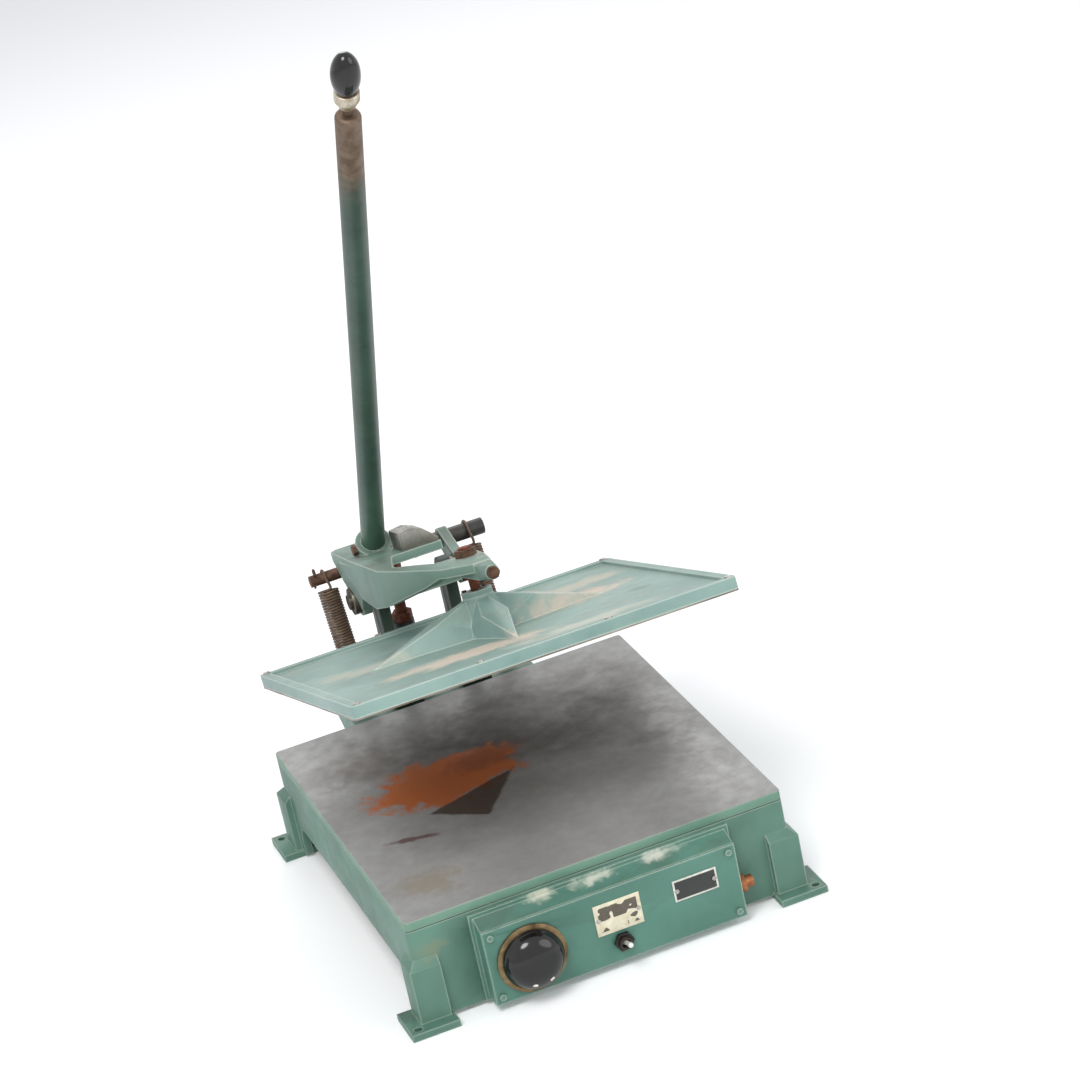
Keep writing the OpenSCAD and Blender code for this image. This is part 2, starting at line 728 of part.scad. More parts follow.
// Cable inlet
module cable_gland() color([0.7, 0.45, 0.28]) translate([0, gland_y, gland_z]) difference() {
    union() {
        x_rod(gland_r, box_w/2 - box_wall - 6, box_w/2 + gland_l);
        translate([box_w/2, 0, 0]) rotate([0, 90, 0]) hexagon(2*gland_r + 5, 6);
    }
    x_rod(gland_bore_d/2, box_w/2 - box_wall - 6 - eps, box_w/2 + gland_l + eps);
}

module gland_nut() color([0.72, 0.5, 0.32]) translate([0, gland_y, gland_z]) difference() {
    translate([box_w/2 - box_wall - 4.5, 0, 0]) rotate([0, 90, 0]) hexagon(2*gland_r + 1.6, 4.5);
    x_rod(gland_r + screw_fit, box_w/2 - box_wall - 6 - eps, box_w/2);
}

module terminal_block() color([0.88, 0.86, 0.8]) translate([terminal_x, panel_back, terminal_z]) difference() {
    cube([42, 14, 16]);
    for (i = [0:2]) translate([8 + 13*i, 0, 8]) y_rod(2.5, 5, 14 + eps);
}

// Insulated leads between the heater, the thermostat, the switch and the terminals
module lead(points) {
    for (i = [0:len(points) - 2]) {
        way = points[i + 1] - points[i];
        translate(points[i]) rotate([0, acos(way[2]/norm(way)), atan2(way[1], way[0])])
            cylinder(r = lead_r, h = norm(way), $fn = 16);
    }
    for (i = [1:len(points) - 2]) translate(points[i]) sphere(r = lead_r, $fn = 16);
}

module inner_leads() color([0.86, 0.84, 0.76]) {
    end_x = heater_x0;
    end_y = -heater_run_l/2 - heater_tail - seat;
    hump_y = panel_back + thermo_d + 4;
    hump_half = thermo_w/2 - thermo_step + seat;
    hole_z = terminal_z + 8;
    hole_y = panel_back + 7;
    switch_y = panel_back + toggle_body_d - 8;
    switch_half = toggle_body_w/2 + seat;
    bend_y = -half_d + wall_t + 5;
    lead([[end_x, end_y, heater_z], [end_x, hump_y, heater_z], [end_x, hump_y, dial_z],
        [dial_x - hump_half, hump_y, dial_z]]);
    lead([[-end_x, end_y, heater_z], [-end_x, hump_y, heater_z], [-end_x, hump_y, hole_z],
        [terminal_x + 34, hump_y, hole_z], [terminal_x + 34, hole_y, hole_z]]);
    lead([[dial_x + hump_half, hump_y, dial_z - 5], [-30, hump_y, dial_z - 5], [-30, switch_y, dial_z - 5],
        [-30, switch_y, toggle_z], [toggle_x - switch_half, switch_y, toggle_z]]);
    lead([[toggle_x + switch_half, switch_y, toggle_z], [30, switch_y, toggle_z], [30, bend_y, hole_z],
        [terminal_x + 8, bend_y, hole_z], [terminal_x + 8, hole_y, hole_z]]);
}

// Posts and pivot
module rear_post(side) {
    // Upright with a round head, a wide foot and a bore for its bush
    difference() {
        translate([side*post_x, 0, 0]) {
            translate([-post_t/2, pivot_y - post_r + 1, base_top])
                cube([post_t, 2*post_r - 2, pivot_z - base_top]);
            translate([0, pivot_y, pivot_z]) x_rod(post_r, -post_t/2, post_t/2);
            translate([-post_foot_w/2, pivot_y - post_foot_d/2, base_top])
                cube([post_foot_w, post_foot_d, post_foot_t]);
        }
        translate([side*post_x, pivot_y, pivot_z]) x_rod(shaft_r + bush_t + screw_fit/2, -post_t, post_t);
        for (s = [-1, 1]) translate([side*post_x, pivot_y + s*post_bolt_y, base_top - eps])
            cylinder(d = post_bolt_d + 2*screw_fit, h = post_foot_t + 2*eps);
    }
}

module rear_post_left() color([0.3, 0.45, 0.38]) rear_post(-1);

module rear_post_right() color([0.3, 0.45, 0.38]) rear_post(1);

module post_bolts() color([0.4, 0.3, 0.25]) both_sides()
    for (s = [-1, 1]) translate([post_x, pivot_y + s*post_bolt_y, shelf_z - 8]) {
        cylinder(d = post_bolt_d, h = shelf_t + post_foot_t + 8);
        translate([0, 0, shelf_t + post_foot_t + 8]) hexagon(13, 5.5);
        translate([0, 0, 1.5]) hexagon(13, 6.5);
    }

module pivot_shaft() color([0.5, 0.48, 0.45]) translate([0, pivot_y, pivot_z])
    x_rod(shaft_r, -shaft_half - 3, shaft_half + 3);

module shaft_bushes() color([0.65, 0.5, 0.3]) translate([0, pivot_y, pivot_z]) both_sides()
    translate([post_x, 0, 0]) difference() {
        x_rod(shaft_r + bush_t, -post_t/2, post_t/2);
        x_rod(shaft_r + run_fit, -post_t, post_t);
    }

module thrust_washers() color([0.55, 0.53, 0.5]) translate([0, pivot_y, pivot_z]) both_sides() difference() {
    x_rod(shaft_r + 5, post_x + post_t/2, cheek_in - side_gap);
    x_rod(shaft_r + run_fit, post_x, cheek_in);
}

module shaft_collars() color([0.42, 0.4, 0.37]) translate([0, pivot_y, pivot_z]) both_sides() difference() {
    x_rod(shaft_r + 6, hub_face + side_gap, shaft_half);
    x_rod(shaft_r + run_fit, hub_face, shaft_half + eps);
    translate([hub_face + side_gap + collar_t/2, 0, shaft_r]) cylinder(r = 1.5, h = 8);
}

// Press arm
module left_cheek() {
    // Solid bracket from the deck's left edge down to the left hub
    hull() {
        translate([0, 0, deck_low]) linear_extrude(deck_t)
            polygon(concat([for (i = [0:2]) deck_outline[i]], [[-deck_half, -110], [-cheek_in - 2, -110],
            [-cheek_in, 20]]));
        x_rod(hub_r - 2, -hub_face, -cheek_in, $fn = 32);
    }
}

module right_leg() {
    // Straight leg from the right hub to the boss of the nose
    hull() {
        x_rod(leg_r, hub_face - 5, hub_face, $fn = 32);
        translate([boss_r - 5, ball_v - 7, deck_low - 5.5]) cube([7, 14, 8.5]);
    }
}

module arm_nose() {
    translate([0, ball_v, deck_h - nose_t]) cylinder(r = boss_r, h = nose_t);
    hull() {
        translate([-boss_r, ball_v - 20, deck_h - nose_t]) cube([2*boss_r, 20, nose_t]);
        translate([-nose_half, nose_v + 24, deck_h - nose_t]) cube([2*nose_half, 6, nose_t - 1]);
    }
    hull() {
        translate([-nose_half, nose_v + 24, deck_h - nose_t]) cube([2*nose_half, 6, nose_t - 1]);
        translate([0, 0, deck_h - nose_t/2]) y_rod(nose_half - 1, nose_v, nose_v + 8);
    }
}

module press_arm() color([0.42, 0.58, 0.5]) arm_frame() difference() {
    union() {
        translate([0, 0, deck_low]) linear_extrude(deck_t) polygon(deck_outline);
        left_cheek();
        intersection() {
            linear_extrude(deck_h) polygon(wall_plan);
            x_prism(wall_side, -deck_half - 10, 0);
        }
        right_leg();
        arm_nose();
        // Webs between the left side and the right leg
        translate([-cheek_in - 2, web_rear_v, -leg_r + 3]) cube([2*cheek_in - 2, web_t, 22]);
        translate([-deck_half + cheek_t - 2, web_front_v, 13]) cube([deck_half + 22, web_t, 12]);
        for (s = [-1, 1]) x_rod(hub_r, s > 0 ? cheek_in : -hub_face, s > 0 ? hub_face : -cheek_in);
        // Rear lugs that carry the cross bar, the right one low enough to show the sleeve
        translate([0, bar_v, bar_w]) {
            x_rod(lug_r, -hub_face, -cheek_in);
            x_rod(sleeve_r + 3, cheek_in, hub_face);
        }
        x_prism([[0, -hub_r], [bar_v + 4, bar_w - lug_r + 1], [bar_v + lug_r - 2, bar_w + 6],
            [14, deck_h - 2], [-10, deck_h - 2]], -hub_face, -cheek_in);
        x_prism([[0, -hub_r], [bar_v + 3, bar_w - sleeve_r - 2], [bar_v + sleeve_r + 1, bar_w + 3],
            [bar_v - 4, bar_w + sleeve_r + 2], [-12, hub_r - 5]], cheek_in, hub_face);
        pole_socket();
    }
    x_rod(shaft_r + run_fit, -hub_face - eps, hub_face + eps);
    // Spot faces for the collars
    both_sides() x_rod(shaft_r + 7, hub_face, hub_face + 30);
    translate([0, bar_v, bar_w]) {
        x_rod(bar_r + run_fit, -hub_face - eps, 0);
        x_rod(sleeve_r + run_fit, 0, hub_face + eps);
    }
    translate([0, ball_v, deck_h - nose_t - eps]) cylinder(r = stud_r + run_fit, h = nose_t + 2*eps);
    translate([-pole_x, pole_v, deck_h]) rotate([pole_lean + arm_slope, 0, 0]) {
        translate([0, 0, -pole_in - seat]) cylinder(r = pole_d/2 + run_fit, h = pole_in + socket_up + 20);
        translate([0, 0, set_screw_up]) rotate([0, -90, 0]) cylinder(r = 3 + screw_fit, h = socket_r + 10);
    }
    block_screw_places() translate([0, 0, deck_low - eps])
        cylinder(r = 2.5 + screw_fit, h = deck_t + 2*eps);
    translate([0, nose_v - eps, deck_h - nose_t/2]) y_rod(3 + screw_fit, 0, 26);
}

module pole_socket() {
    // Slanted collar that grips the pole
    translate([-pole_x, pole_v, deck_h]) rotate([pole_lean + arm_slope, 0, 0])
        translate([0, 0, -socket_down]) cylinder(r = socket_r, h = socket_down + socket_up);
}

module lever_pole() color([0.2, 0.3, 0.26]) pole_frame() {
    translate([0, 0, -pole_in]) cylinder(d = pole_d, h = pole_in + pole_l - 5);
    translate([0, 0, pole_l - 5]) rotate_extrude()
        polygon(concat([[0, -eps], [pole_d/2, -eps]], [for (a = [0:15:75]) [pole_d/2 - 5 + 5*cos(a), 5*sin(a)]],
        [[pole_d/2 - 5, 5], [0, 5]]));
}

module lever_neck() color([0.4, 0.33, 0.28]) pole_frame() translate([0, 0, pole_l]) {
    cylinder(d = neck_d, h = neck_l);
    translate([0, 0, neck_l]) cylinder(d = 6, h = ferrule_h + 14);
}

module lever_ferrule() color([0.78, 0.74, 0.66]) pole_frame() translate([0, 0, pole_l + neck_l]) difference() {
    rotate_extrude() polygon([[0, 0], [6, 0], [8, 2.5], [ferrule_d/2 - 2, 7], [ferrule_d/2, 10],
        [ferrule_d/2, ferrule_h - 1], [ferrule_d/2 - 1, ferrule_h], [0, ferrule_h]]);
    translate([0, 0, -eps]) cylinder(r = 3 + screw_fit, h = ferrule_h + 2*eps);
}

module lever_knob() color([0.04, 0.04, 0.04])
    pole_frame() translate([0, 0, pole_l + neck_l + ferrule_h]) difference() {
    // Egg-shaped grip, widest a little above its middle
    rotate_extrude() polygon(concat([[0, 0]], [for (i = [0:12]) let (t = i/12, a = -50 + 140*t)
        [knob_d/2*cos(a), knob_l*(sin(a) + sin(50))/(1 + sin(50))]]));
    translate([0, 0, -eps]) cylinder(r = 3 + screw_fit, h = 15 + 2*eps);
}

module lever_set_screw() color([0.4, 0.35, 0.3]) pole_frame()
    translate([-pole_d/2 - 0.4, 0, set_screw_up]) rotate([0, -90, 0]) {
    cylinder(r = 3, h = 8);
    translate([0, 0, socket_r - pole_d/2 - 0.1]) hexagon(10, 4);
}

// Cross bar and springs
module cross_bar() color([0.35, 0.28, 0.24]) difference() {
    translate([0, bar_y, bar_z]) x_rod(bar_r, bar_left, bar_right);
    cotter_places() cylinder(r = 1.2 + screw_fit, h = 40, center = true);
}

module bar_sleeve() color([0.08, 0.08, 0.08]) difference() {
    translate([0, bar_y, bar_z]) x_rod(sleeve_r, sleeve_from, sleeve_to);
    translate([0, bar_y, bar_z]) x_rod(bar_r + run_fit, sleeve_from - eps, sleeve_to + eps);
}

module cotter_places() {
    for (x = [bar_left + 5, sleeve_from - 5]) translate([x, bar_y, bar_z]) rotate([25, 0, 0]) children();
}

module cotter_pins() color([0.5, 0.47, 0.42]) cotter_places() {
    translate([0, 0, -bar_r - 5]) cylinder(r = 1.2, h = 2*bar_r + 10);
    translate([0, 0, bar_r + 6.5]) rotate([0, 90, 0])
        rotate_extrude() translate([2.6, 0]) circle(r = 1.2, $fn = 24);
}

// Point on a cubic curve from p0 to p3
function bezier(p0, p1, p2, p3, t) = p0*pow(1 - t, 3) + 3*p1*t*pow(1 - t, 2) + 3*p2*t*t*(1 - t) + p3*pow(t, 3);

// Spring axis along Z, from the middle of the lower hook at 0 to the middle of the upper hook at len
function spring_path(len, r_low, r_top) =
    let (bow = 4.2, from = r_low + hook_gap, to = len - r_top - hook_gap,
        turns = round((to - from)/coil_pitch - 0.5) + 0.5, pitch = (to - from)/turns,
        steps = round(turns*curl_rings),
        coil = [for (i = [0:steps]) let (a = 90 + 360*i/curl_rings)
            [coil_r*cos(a), coil_r*sin(a), from + pitch*i/curl_rings]],
        first = coil[0], last = coil[steps], tangent = [1, 0, 0],
        top_start = [0, -r_top, len], low_start = [0, r_low, 0],
        top = [for (a = [180:-22.5:-30]) [0, r_top*cos(a), len + r_top*sin(a)]],
        low = [for (a = [-210:22.5:0]) [0, r_low*cos(a), r_low*sin(a)]],
        top_end = top[len(top) - 1], low_end = low[0],
        top_way = [0, sin(-30), -cos(-30)], low_way = [0, sin(-210), -cos(-210)])
    concat([low_end + low_way*wire_d],
        low,
        [for (t = [0.25:0.25:0.75])
            bezier(low_start, low_start + [0, 0, 4], first + tangent*bow - [0, 0, 1], first, t)],
        coil,
        [for (t = [0.25:0.25:0.75])
            bezier(last, last + tangent*bow + [0, 0, 1], top_start - [0, 0, 4], top_start, t)],
        top,
        [top_end + top_way*wire_d]);

function unit(v) = v/norm(v);

// Directions of a path at each of its points
function path_ways(p) = [for (i = [0:len(p) - 1]) unit(p[min(i + 1, len(p) - 1)] - p[max(i - 1, 0)])];

// Side vectors carried along the path without twist
function carry(ways, start) = [for (i = 0, s = start; i < len(ways);
    i = i + 1, s = i < len(ways) ? unit(s - ways[i]*(s*ways[i])) : s) s];

// Closed tube of the given radius along a path
module tube_along(p, r, sides) {
    ways = path_ways(p);
    any = abs(ways[0][0]) < 0.9 ? [1, 0, 0] : [0, 1, 0];
    across = carry(ways, unit(any - ways[0]*(any*ways[0])));
    rings = [for (i = [0:len(p) - 1], k = [0:sides - 1]) let (a = 360*k/sides, b = cross(ways[i], across[i]))
        p[i] + r*cos(a)*across[i] + r*sin(a)*b];
    last = (len(p) - 1)*sides;
    sides_out = [for (i = [0:len(p) - 2], k = [0:sides - 1], half = [0, 1]) let (a = i*sides + k,
        b = i*sides + (k + 1)%sides, c = a + sides, d = b + sides) half == 0 ? [a, c, b] : [b, c, d]];
    ends = concat([for (k = [1:sides - 2]) [0, k, k + 1]],
        [for (k = [1:sides - 2]) [last, last + k + 1, last + k]]);
    polyhedron(points = rings, faces = concat(sides_out, ends), convexity = 10);
}

// Least distance between path points at least half a turn apart
function least_gap(p, apart) = min([for (i = [0:len(p) - 1 - apart])
    min([for (j = [i + apart:min(len(p) - 1, i + 3*apart)]) norm(p[i] - p[j])])]) - wire_d;

module lift_spring(side, r_top) {
    path = spring_path(spring_l, low_hook_r, r_top);
    echo(side = side, least_gap = least_gap(path, 6), rings = len(path), length = spring_l);
    translate([side*spring_x, eye_y, low_hook_z]) rotate([-spring_lean, 0, 0]) tube_along(path, wire_r, 6);
}

module lift_spring_left() color([0.5, 0.4, 0.33]) lift_spring(-1, hook_r);

module lift_spring_right() color([0.5, 0.4, 0.33]) lift_spring(1, sleeve_r + seat + wire_r);

module spring_eyes() color([0.45, 0.33, 0.27]) both_sides() translate([spring_x, eye_y, 0]) {
    translate([0, 0, eye_z]) rotate([90, 0, 0])
        rotate_extrude() translate([eye_r, 0]) circle(d = eye_wire_d, $fn = 32);
    translate([0, 0, shelf_z - 14]) cylinder(d = eye_wire_d, h = eye_z - eye_r - shelf_z + 14);
}

module eye_nuts() color([0.5, 0.45, 0.4]) both_sides() translate([spring_x, eye_y, shelf_z - 5]) difference() {
    hexagon(10, 5);
    translate([0, 0, -eps]) cylinder(d = eye_wire_d + 2*screw_fit, h = 5 + 2*eps);
}

// Open stop under the cross bar
module stop_pedestal() color([0.16, 0.18, 0.17]) translate([stop_x, stop_y, base_top]) difference() {
    union() {
        translate([-pedestal_w/2, -pedestal_d/2, 0]) cube([pedestal_w, pedestal_d, 8]);
        cylinder(d1 = pedestal_d, d2 = stop_d + 10, h = pedestal_h);
    }
    translate([0, 0, 20]) cylinder(d = stop_d + 2*screw_fit, h = pedestal_h);
}

module stop_bolt() color([0.48, 0.25, 0.18]) translate([stop_x, stop_y, 0]) {
    translate([0, 0, base_top + 22]) cylinder(d = stop_d, h = stop_top - stop_head_h - base_top - 22);
    translate([0, 0, stop_top - stop_head_h]) hexagon(stop_head_d, stop_head_h);
}

module stop_nut() color([0.5, 0.28, 0.2]) translate([stop_x, stop_y, base_top + pedestal_h]) difference() {
    hexagon(stop_head_d, 9);
    translate([0, 0, -eps]) cylinder(d = stop_d + 2*screw_fit, h = 11);
}

// Block on the deck behind the window
module block_screw_places() {
    for (v = [block_v0 + 9, block_v0 + block_d - 9]) translate([block_x0 + block_peak, v, 0]) children();
}

module adjusting_block() color([0.58, 0.58, 0.56]) arm_frame() difference() {
    translate([block_x0, block_v0 + block_d, deck_h]) rotate([90, 0, 0]) linear_extrude(block_d)
        polygon([[0, 0], [block_w, 0], [block_w, 4], [block_shoulder, block_h - 4], [block_peak, block_h],
        [0, block_h - 2]]);
    block_screw_places() translate([0, 0, deck_h - eps]) {
        cylinder(r = 2.5 + screw_fit, h = block_h + 2*eps);
        translate([0, 0, block_h - 6 + eps]) cylinder(r = 4.8, h = 10);
    }
}

module block_screws() color([0.4, 0.38, 0.35]) arm_frame() block_screw_places() {
    translate([0, 0, deck_low - 2]) cylinder(r = 2.5, h = deck_t + block_h - 2);
    translate([0, 0, deck_h + block_h - 6]) cylinder(r = 4.5, h = 4.2);
}

module nose_bolt() color([0.5, 0.5, 0.45]) arm_frame() translate([0, 0, deck_h - nose_t/2]) {
    y_rod(3, nose_v - 2, nose_v + 24);
    translate([0, nose_v, 0]) rotate([90, 0, 0]) hexagon(11, 5);
}

module ball_stud() color([0.5, 0.27, 0.2]) arm_frame() translate([0, ball_v, ball_w]) {
    sphere(r = ball_r);
    cylinder(r = stud_r - 1, h = deck_h - nose_t - ball_w);
    translate([0, 0, deck_h - nose_t - ball_w - 6]) hexagon(17, 6);
    translate([0, 0, deck_h - nose_t - ball_w - 1]) cylinder(r = stud_r, h = nose_t + 10);
}

module stud_nut() color([0.45, 0.4, 0.35]) arm_frame() translate([0, ball_v, deck_h]) difference() {
    hexagon(19, 7);
    translate([0, 0, -eps]) cylinder(r = stud_r + screw_fit, h = 9);
}

// Platen
module rib(reach) {
    // Ridge that falls from the boss to the plate, wide at its root and pointed at its end
    intersection() {
        x_prism([[-reach, plate_top - 1], [-reach, plate_top], [-boss_r_top + 2, boss_top - 1],
            [0, boss_top - 1], [0, plate_top - 1]], -rib_half - 14, rib_half + 14);
        translate([0, 0, plate_top - 2]) linear_extrude(boss_top - plate_top + 4)
            polygon([[0, -reach], [rib_half, -boss_r_low], [rib_half + 8, 0], [-rib_half - 8, 0],
                [-rib_half, -boss_r_low]]);
        rotate([90, 0, 0]) linear_extrude(reach) polygon([[-rib_half - 12, plate_top - 2],
            [rib_half + 12, plate_top - 2], [rib_half + 8, plate_top + 2], [5, boss_top], [-5, boss_top],
            [-rib_half - 8, plate_top + 2]]);
    }
}

module platen() color([0.55, 0.7, 0.64]) platen_frame() difference() {
    union() {
        difference() {
            translate([0, 0, plate_low]) rounded_slab(platen_w, platen_d, platen_t + rim_h, bed_r);
            translate([0, 0, plate_top])
                rounded_slab(platen_w - 2*rim_w, platen_d - 2*rim_w, rim_h + eps, bed_r);
        }
        for (i = [0:3]) rotate([0, 0, 90*i]) rib(i%2 == 0 ? rib_y : rib_x);
        translate([0, 0, plate_top - 1])
            cylinder(r1 = boss_r_low, r2 = boss_r_top, h = boss_top - plate_top + 1);
    }
    sphere(r = ball_r + socket_gap);
    cylinder(r = ball_r + socket_gap, h = 20);
    cap_screw_places() translate([0, 0, boss_top - 8]) cylinder(r = cap_screw_r + screw_fit, h = 9);
    rim_screw_places() translate([0, 0, plate_low - eps])
        cylinder(r = rim_screw_r + screw_fit, h = platen_t + rim_h + 2*eps);
}

module cap_screw_places() {
    for (a = [0:2]) rotate([0, 0, 120*a + 30]) translate([boss_r_top - 3, 0, 0]) children();
}

// Cap that holds the ball down in its socket
module boss_cap() color([0.5, 0.62, 0.56]) platen_frame() difference() {
    translate([0, 0, boss_top]) cylinder(r = boss_r_top, h = cap_t);
    sphere(r = ball_r + socket_gap);
    // Flared mouth that lets the stud swing
    translate([0, 0, boss_top + cap_t/2]) cylinder(r1 = ball_r - 1.8, r2 = ball_r - 0.6, h = cap_t/2 + eps);
    cap_screw_places() translate([0, 0, boss_top - eps])
        cylinder(r = cap_screw_r + screw_fit, h = cap_t + 2*eps);
}

module cap_screws() color([0.5, 0.45, 0.4]) platen_frame() cap_screw_places() {
    translate([0, 0, boss_top - 7]) cylinder(r = cap_screw_r, h = 7 + cap_t);
    translate([0, 0, boss_top + cap_t]) cylinder(r = 2*cap_screw_r, h = 1.8);
}

module rim_screw_places() {
    inset = rim_w/2;
    for (x = [platen_w/6, platen_w/2 - inset - 2], sx = [-1, 1], sy = [-1, 1])
        translate([sx*x, sy*(platen_d/2 - inset), 0]) children();
}

module face_sheet() color([0.6, 0.6, 0.58]) platen_frame() difference() {
    translate([0, 0, plate_low - sheet_t]) rounded_slab(platen_w, platen_d, sheet_t, bed_r);
    rim_screw_places() translate([0, 0, plate_low - sheet_t - eps])
        cylinder(r = rim_screw_r + screw_fit, h = sheet_t + 2*eps);
}

module rim_screws() color([0.7, 0.7, 0.66]) platen_frame() rim_screw_places() {
    translate([0, 0, plate_low - sheet_t + 0.2])
        cylinder(r = rim_screw_r, h = platen_t + rim_h + sheet_t - 0.2);
    translate([0, 0, rim_top]) cylinder(r = 3.4, h = 1.6);
}

base_casting();
bed_plate();
heating_element();
heater_clamp_plate();
insulation_board();
heater_studs();
control_box();
control_panel();
panel_screws();
box_screws();
inner_leads();
thermostat_body();
thermostat_bulb();
dial_escutcheon();
dial_spindle();
dial_knob();
knob_screw();
toggle_body();
toggle_nut();
toggle_bat();
switch_plate();
rating_plate();
plate_rivets();
cable_gland();
gland_nut();
terminal_block();
rear_post_left();
rear_post_right();
post_bolts();
pivot_shaft();
shaft_bushes();
thrust_washers();
shaft_collars();
press_arm();
lever_pole();
lever_neck();
lever_ferrule();
lever_knob();
lever_set_screw();
cross_bar();
bar_sleeve();
cotter_pins();
lift_spring_left();
lift_spring_right();
spring_eyes();
eye_nuts();
stop_pedestal();
stop_bolt();
stop_nut();
adjusting_block();
block_screws();
nose_bolt();
ball_stud();
stud_nut();
platen();
boss_cap();
cap_screws();
face_sheet();
rim_screws();
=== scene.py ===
import bpy
import json
import math
from mathutils import Vector, Matrix


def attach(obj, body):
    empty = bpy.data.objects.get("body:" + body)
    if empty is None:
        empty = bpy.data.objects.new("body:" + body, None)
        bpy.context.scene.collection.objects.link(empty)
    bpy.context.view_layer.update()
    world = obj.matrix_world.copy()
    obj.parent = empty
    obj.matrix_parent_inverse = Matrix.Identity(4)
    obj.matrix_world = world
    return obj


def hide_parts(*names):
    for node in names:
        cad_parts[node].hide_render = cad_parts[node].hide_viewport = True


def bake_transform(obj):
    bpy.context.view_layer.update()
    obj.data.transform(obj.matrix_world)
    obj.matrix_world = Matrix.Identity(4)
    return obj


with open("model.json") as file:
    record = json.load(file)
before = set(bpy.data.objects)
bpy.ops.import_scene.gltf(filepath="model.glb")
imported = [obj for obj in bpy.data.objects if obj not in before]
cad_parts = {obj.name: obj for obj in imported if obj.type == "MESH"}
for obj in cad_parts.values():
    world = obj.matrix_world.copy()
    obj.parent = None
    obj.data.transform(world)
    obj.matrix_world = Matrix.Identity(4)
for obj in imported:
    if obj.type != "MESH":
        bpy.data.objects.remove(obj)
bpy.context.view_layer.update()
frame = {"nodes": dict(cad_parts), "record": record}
nodeBody = {}
for bodyName, nodeNames in frame["record"]["behaviour"]["bodies"].items():
    for nodeName in nodeNames:
        nodeBody[nodeName] = bodyName


def tone(red, green, blue):
    # a colour as a screen shows it, 0 to 255, in Blender's linear values
    def linear(value):
        value = value / 255
        return value / 12.92 if value <= 0.04045 else ((value + 0.055) / 1.055) ** 2.4
    return (linear(red), linear(green), linear(blue), 1)


def clearSelection():
    if bpy.context.object and bpy.context.object.mode != "OBJECT":
        bpy.ops.object.mode_set(mode="OBJECT")
    bpy.ops.object.select_all(action="DESELECT")


def pick(piece):
    clearSelection()
    piece.select_set(True)
    bpy.context.view_layer.objects.active = piece


# camera and light
print("camera and light")

view = {
    "place": (-0.8162, -3.2336, 1.8201),
    "turn": (65.582, 11.135, -20.339),
    "lens": 129.5,
}

light = {
    "worldColour": (0.93, 0.95, 1.0),
    "worldStrength": 0.62,
    "key": {"place": (-1.1, -1.6, 2.9), "aim": (0, 0, 0.2), "size": 1.5, "power": 62},
    "fill": {"place": (2.2, -1.9, 1.5), "aim": (0, 0, 0.25), "size": 2.2, "power": 24},
    "rear": {"place": (0.6, 2.4, 2.2), "aim": (0, 0, 0.4), "size": 1.6, "power": 26},
}


def makeCamera():
    data = bpy.data.cameras.new("camera")
    data.lens = view["lens"]
    data.sensor_width = 36
    data.clip_end = 60
    camera = bpy.data.objects.new("camera", data)
    camera.location = view["place"]
    camera.rotation_euler = [math.radians(angle) for angle in view["turn"]]
    bpy.context.scene.collection.objects.link(camera)
    bpy.context.scene.camera = camera


def makeLamp(name, settings):
    data = bpy.data.lights.new(name, "AREA")
    data.shape = "DISK"
    data.size = settings["size"]
    data.energy = settings["power"]
    lamp = bpy.data.objects.new(name, data)
    lamp.location = settings["place"]
    way = Vector(settings["aim"]) - Vector(settings["place"])
    lamp.rotation_euler = way.to_track_quat("-Z", "Y").to_euler()
    bpy.context.scene.collection.objects.link(lamp)


def makeWorld():
    world = bpy.data.worlds.new("studio")
    world.use_nodes = True
    tree = world.node_tree
    tree.nodes.clear()
    out = tree.nodes.new("ShaderNodeOutputWorld")
    soft = tree.nodes.new("ShaderNodeBackground")
    soft.inputs["Color"].default_value = (*light["worldColour"], 1)
    soft.inputs["Strength"].default_value = light["worldStrength"]
    white = tree.nodes.new("ShaderNodeBackground")
    white.inputs["Color"].default_value = (1, 1, 1, 1)
    white.inputs["Strength"].default_value = 1.0
    path = tree.nodes.new("ShaderNodeLightPath")
    mix = tree.nodes.new("ShaderNodeMixShader")
    seen = path.outputs["Is Camera Ray"]
    for ray in ("Is Glossy Ray", "Is Transmission Ray"):
        either = tree.nodes.new("ShaderNodeMath")
        either.operation = "MAXIMUM"
        tree.links.new(seen, either.inputs[0])
        tree.links.new(path.outputs[ray], either.inputs[1])
        seen = either.outputs[0]
    tree.links.new(seen, mix.inputs[0])
    tree.links.new(soft.outputs[0], mix.inputs[1])
    tree.links.new(white.outputs[0], mix.inputs[2])
    tree.links.new(mix.outputs[0], out.inputs["Surface"])
    bpy.context.scene.world = world


makeCamera()
makeWorld()
for lampName in ("key", "fill", "rear"):
    makeLamp(lampName, light[lampName])
bpy.context.scene.view_settings.view_transform = "Standard"


# node helpers
def addNode(tree, kind, inputs=None, **settings):
    node = tree.nodes.new(kind)
    for key, value in settings.items():
        setattr(node, key, value)
    for key, value in (inputs or {}).items():
        socket = node.inputs[key]
        if hasattr(value, "is_output"):
            tree.links.new(value, socket)
        else:
            socket.default_value = value
    return node


def maths(tree, operation, a, b=0.0, c=0.0, clamp=False):
    node = addNode(tree, "ShaderNodeMath", {0: a, 1: b, 2: c}, operation=operation, use_clamp=clamp)
    return node.outputs[0]


def mixColours(tree, factor, a, b, blend="MIX"):
    node = addNode(tree, "ShaderNodeMix", {0: factor, 6: a, 7: b}, data_type="RGBA", blend_type=blend)
    return node.outputs[2]


def mixValues(tree, factor, a, b):
    node = addNode(tree, "ShaderNodeMix", {0: factor, 2: a, 3: b}, data_type="FLOAT")
    return node.outputs[0]


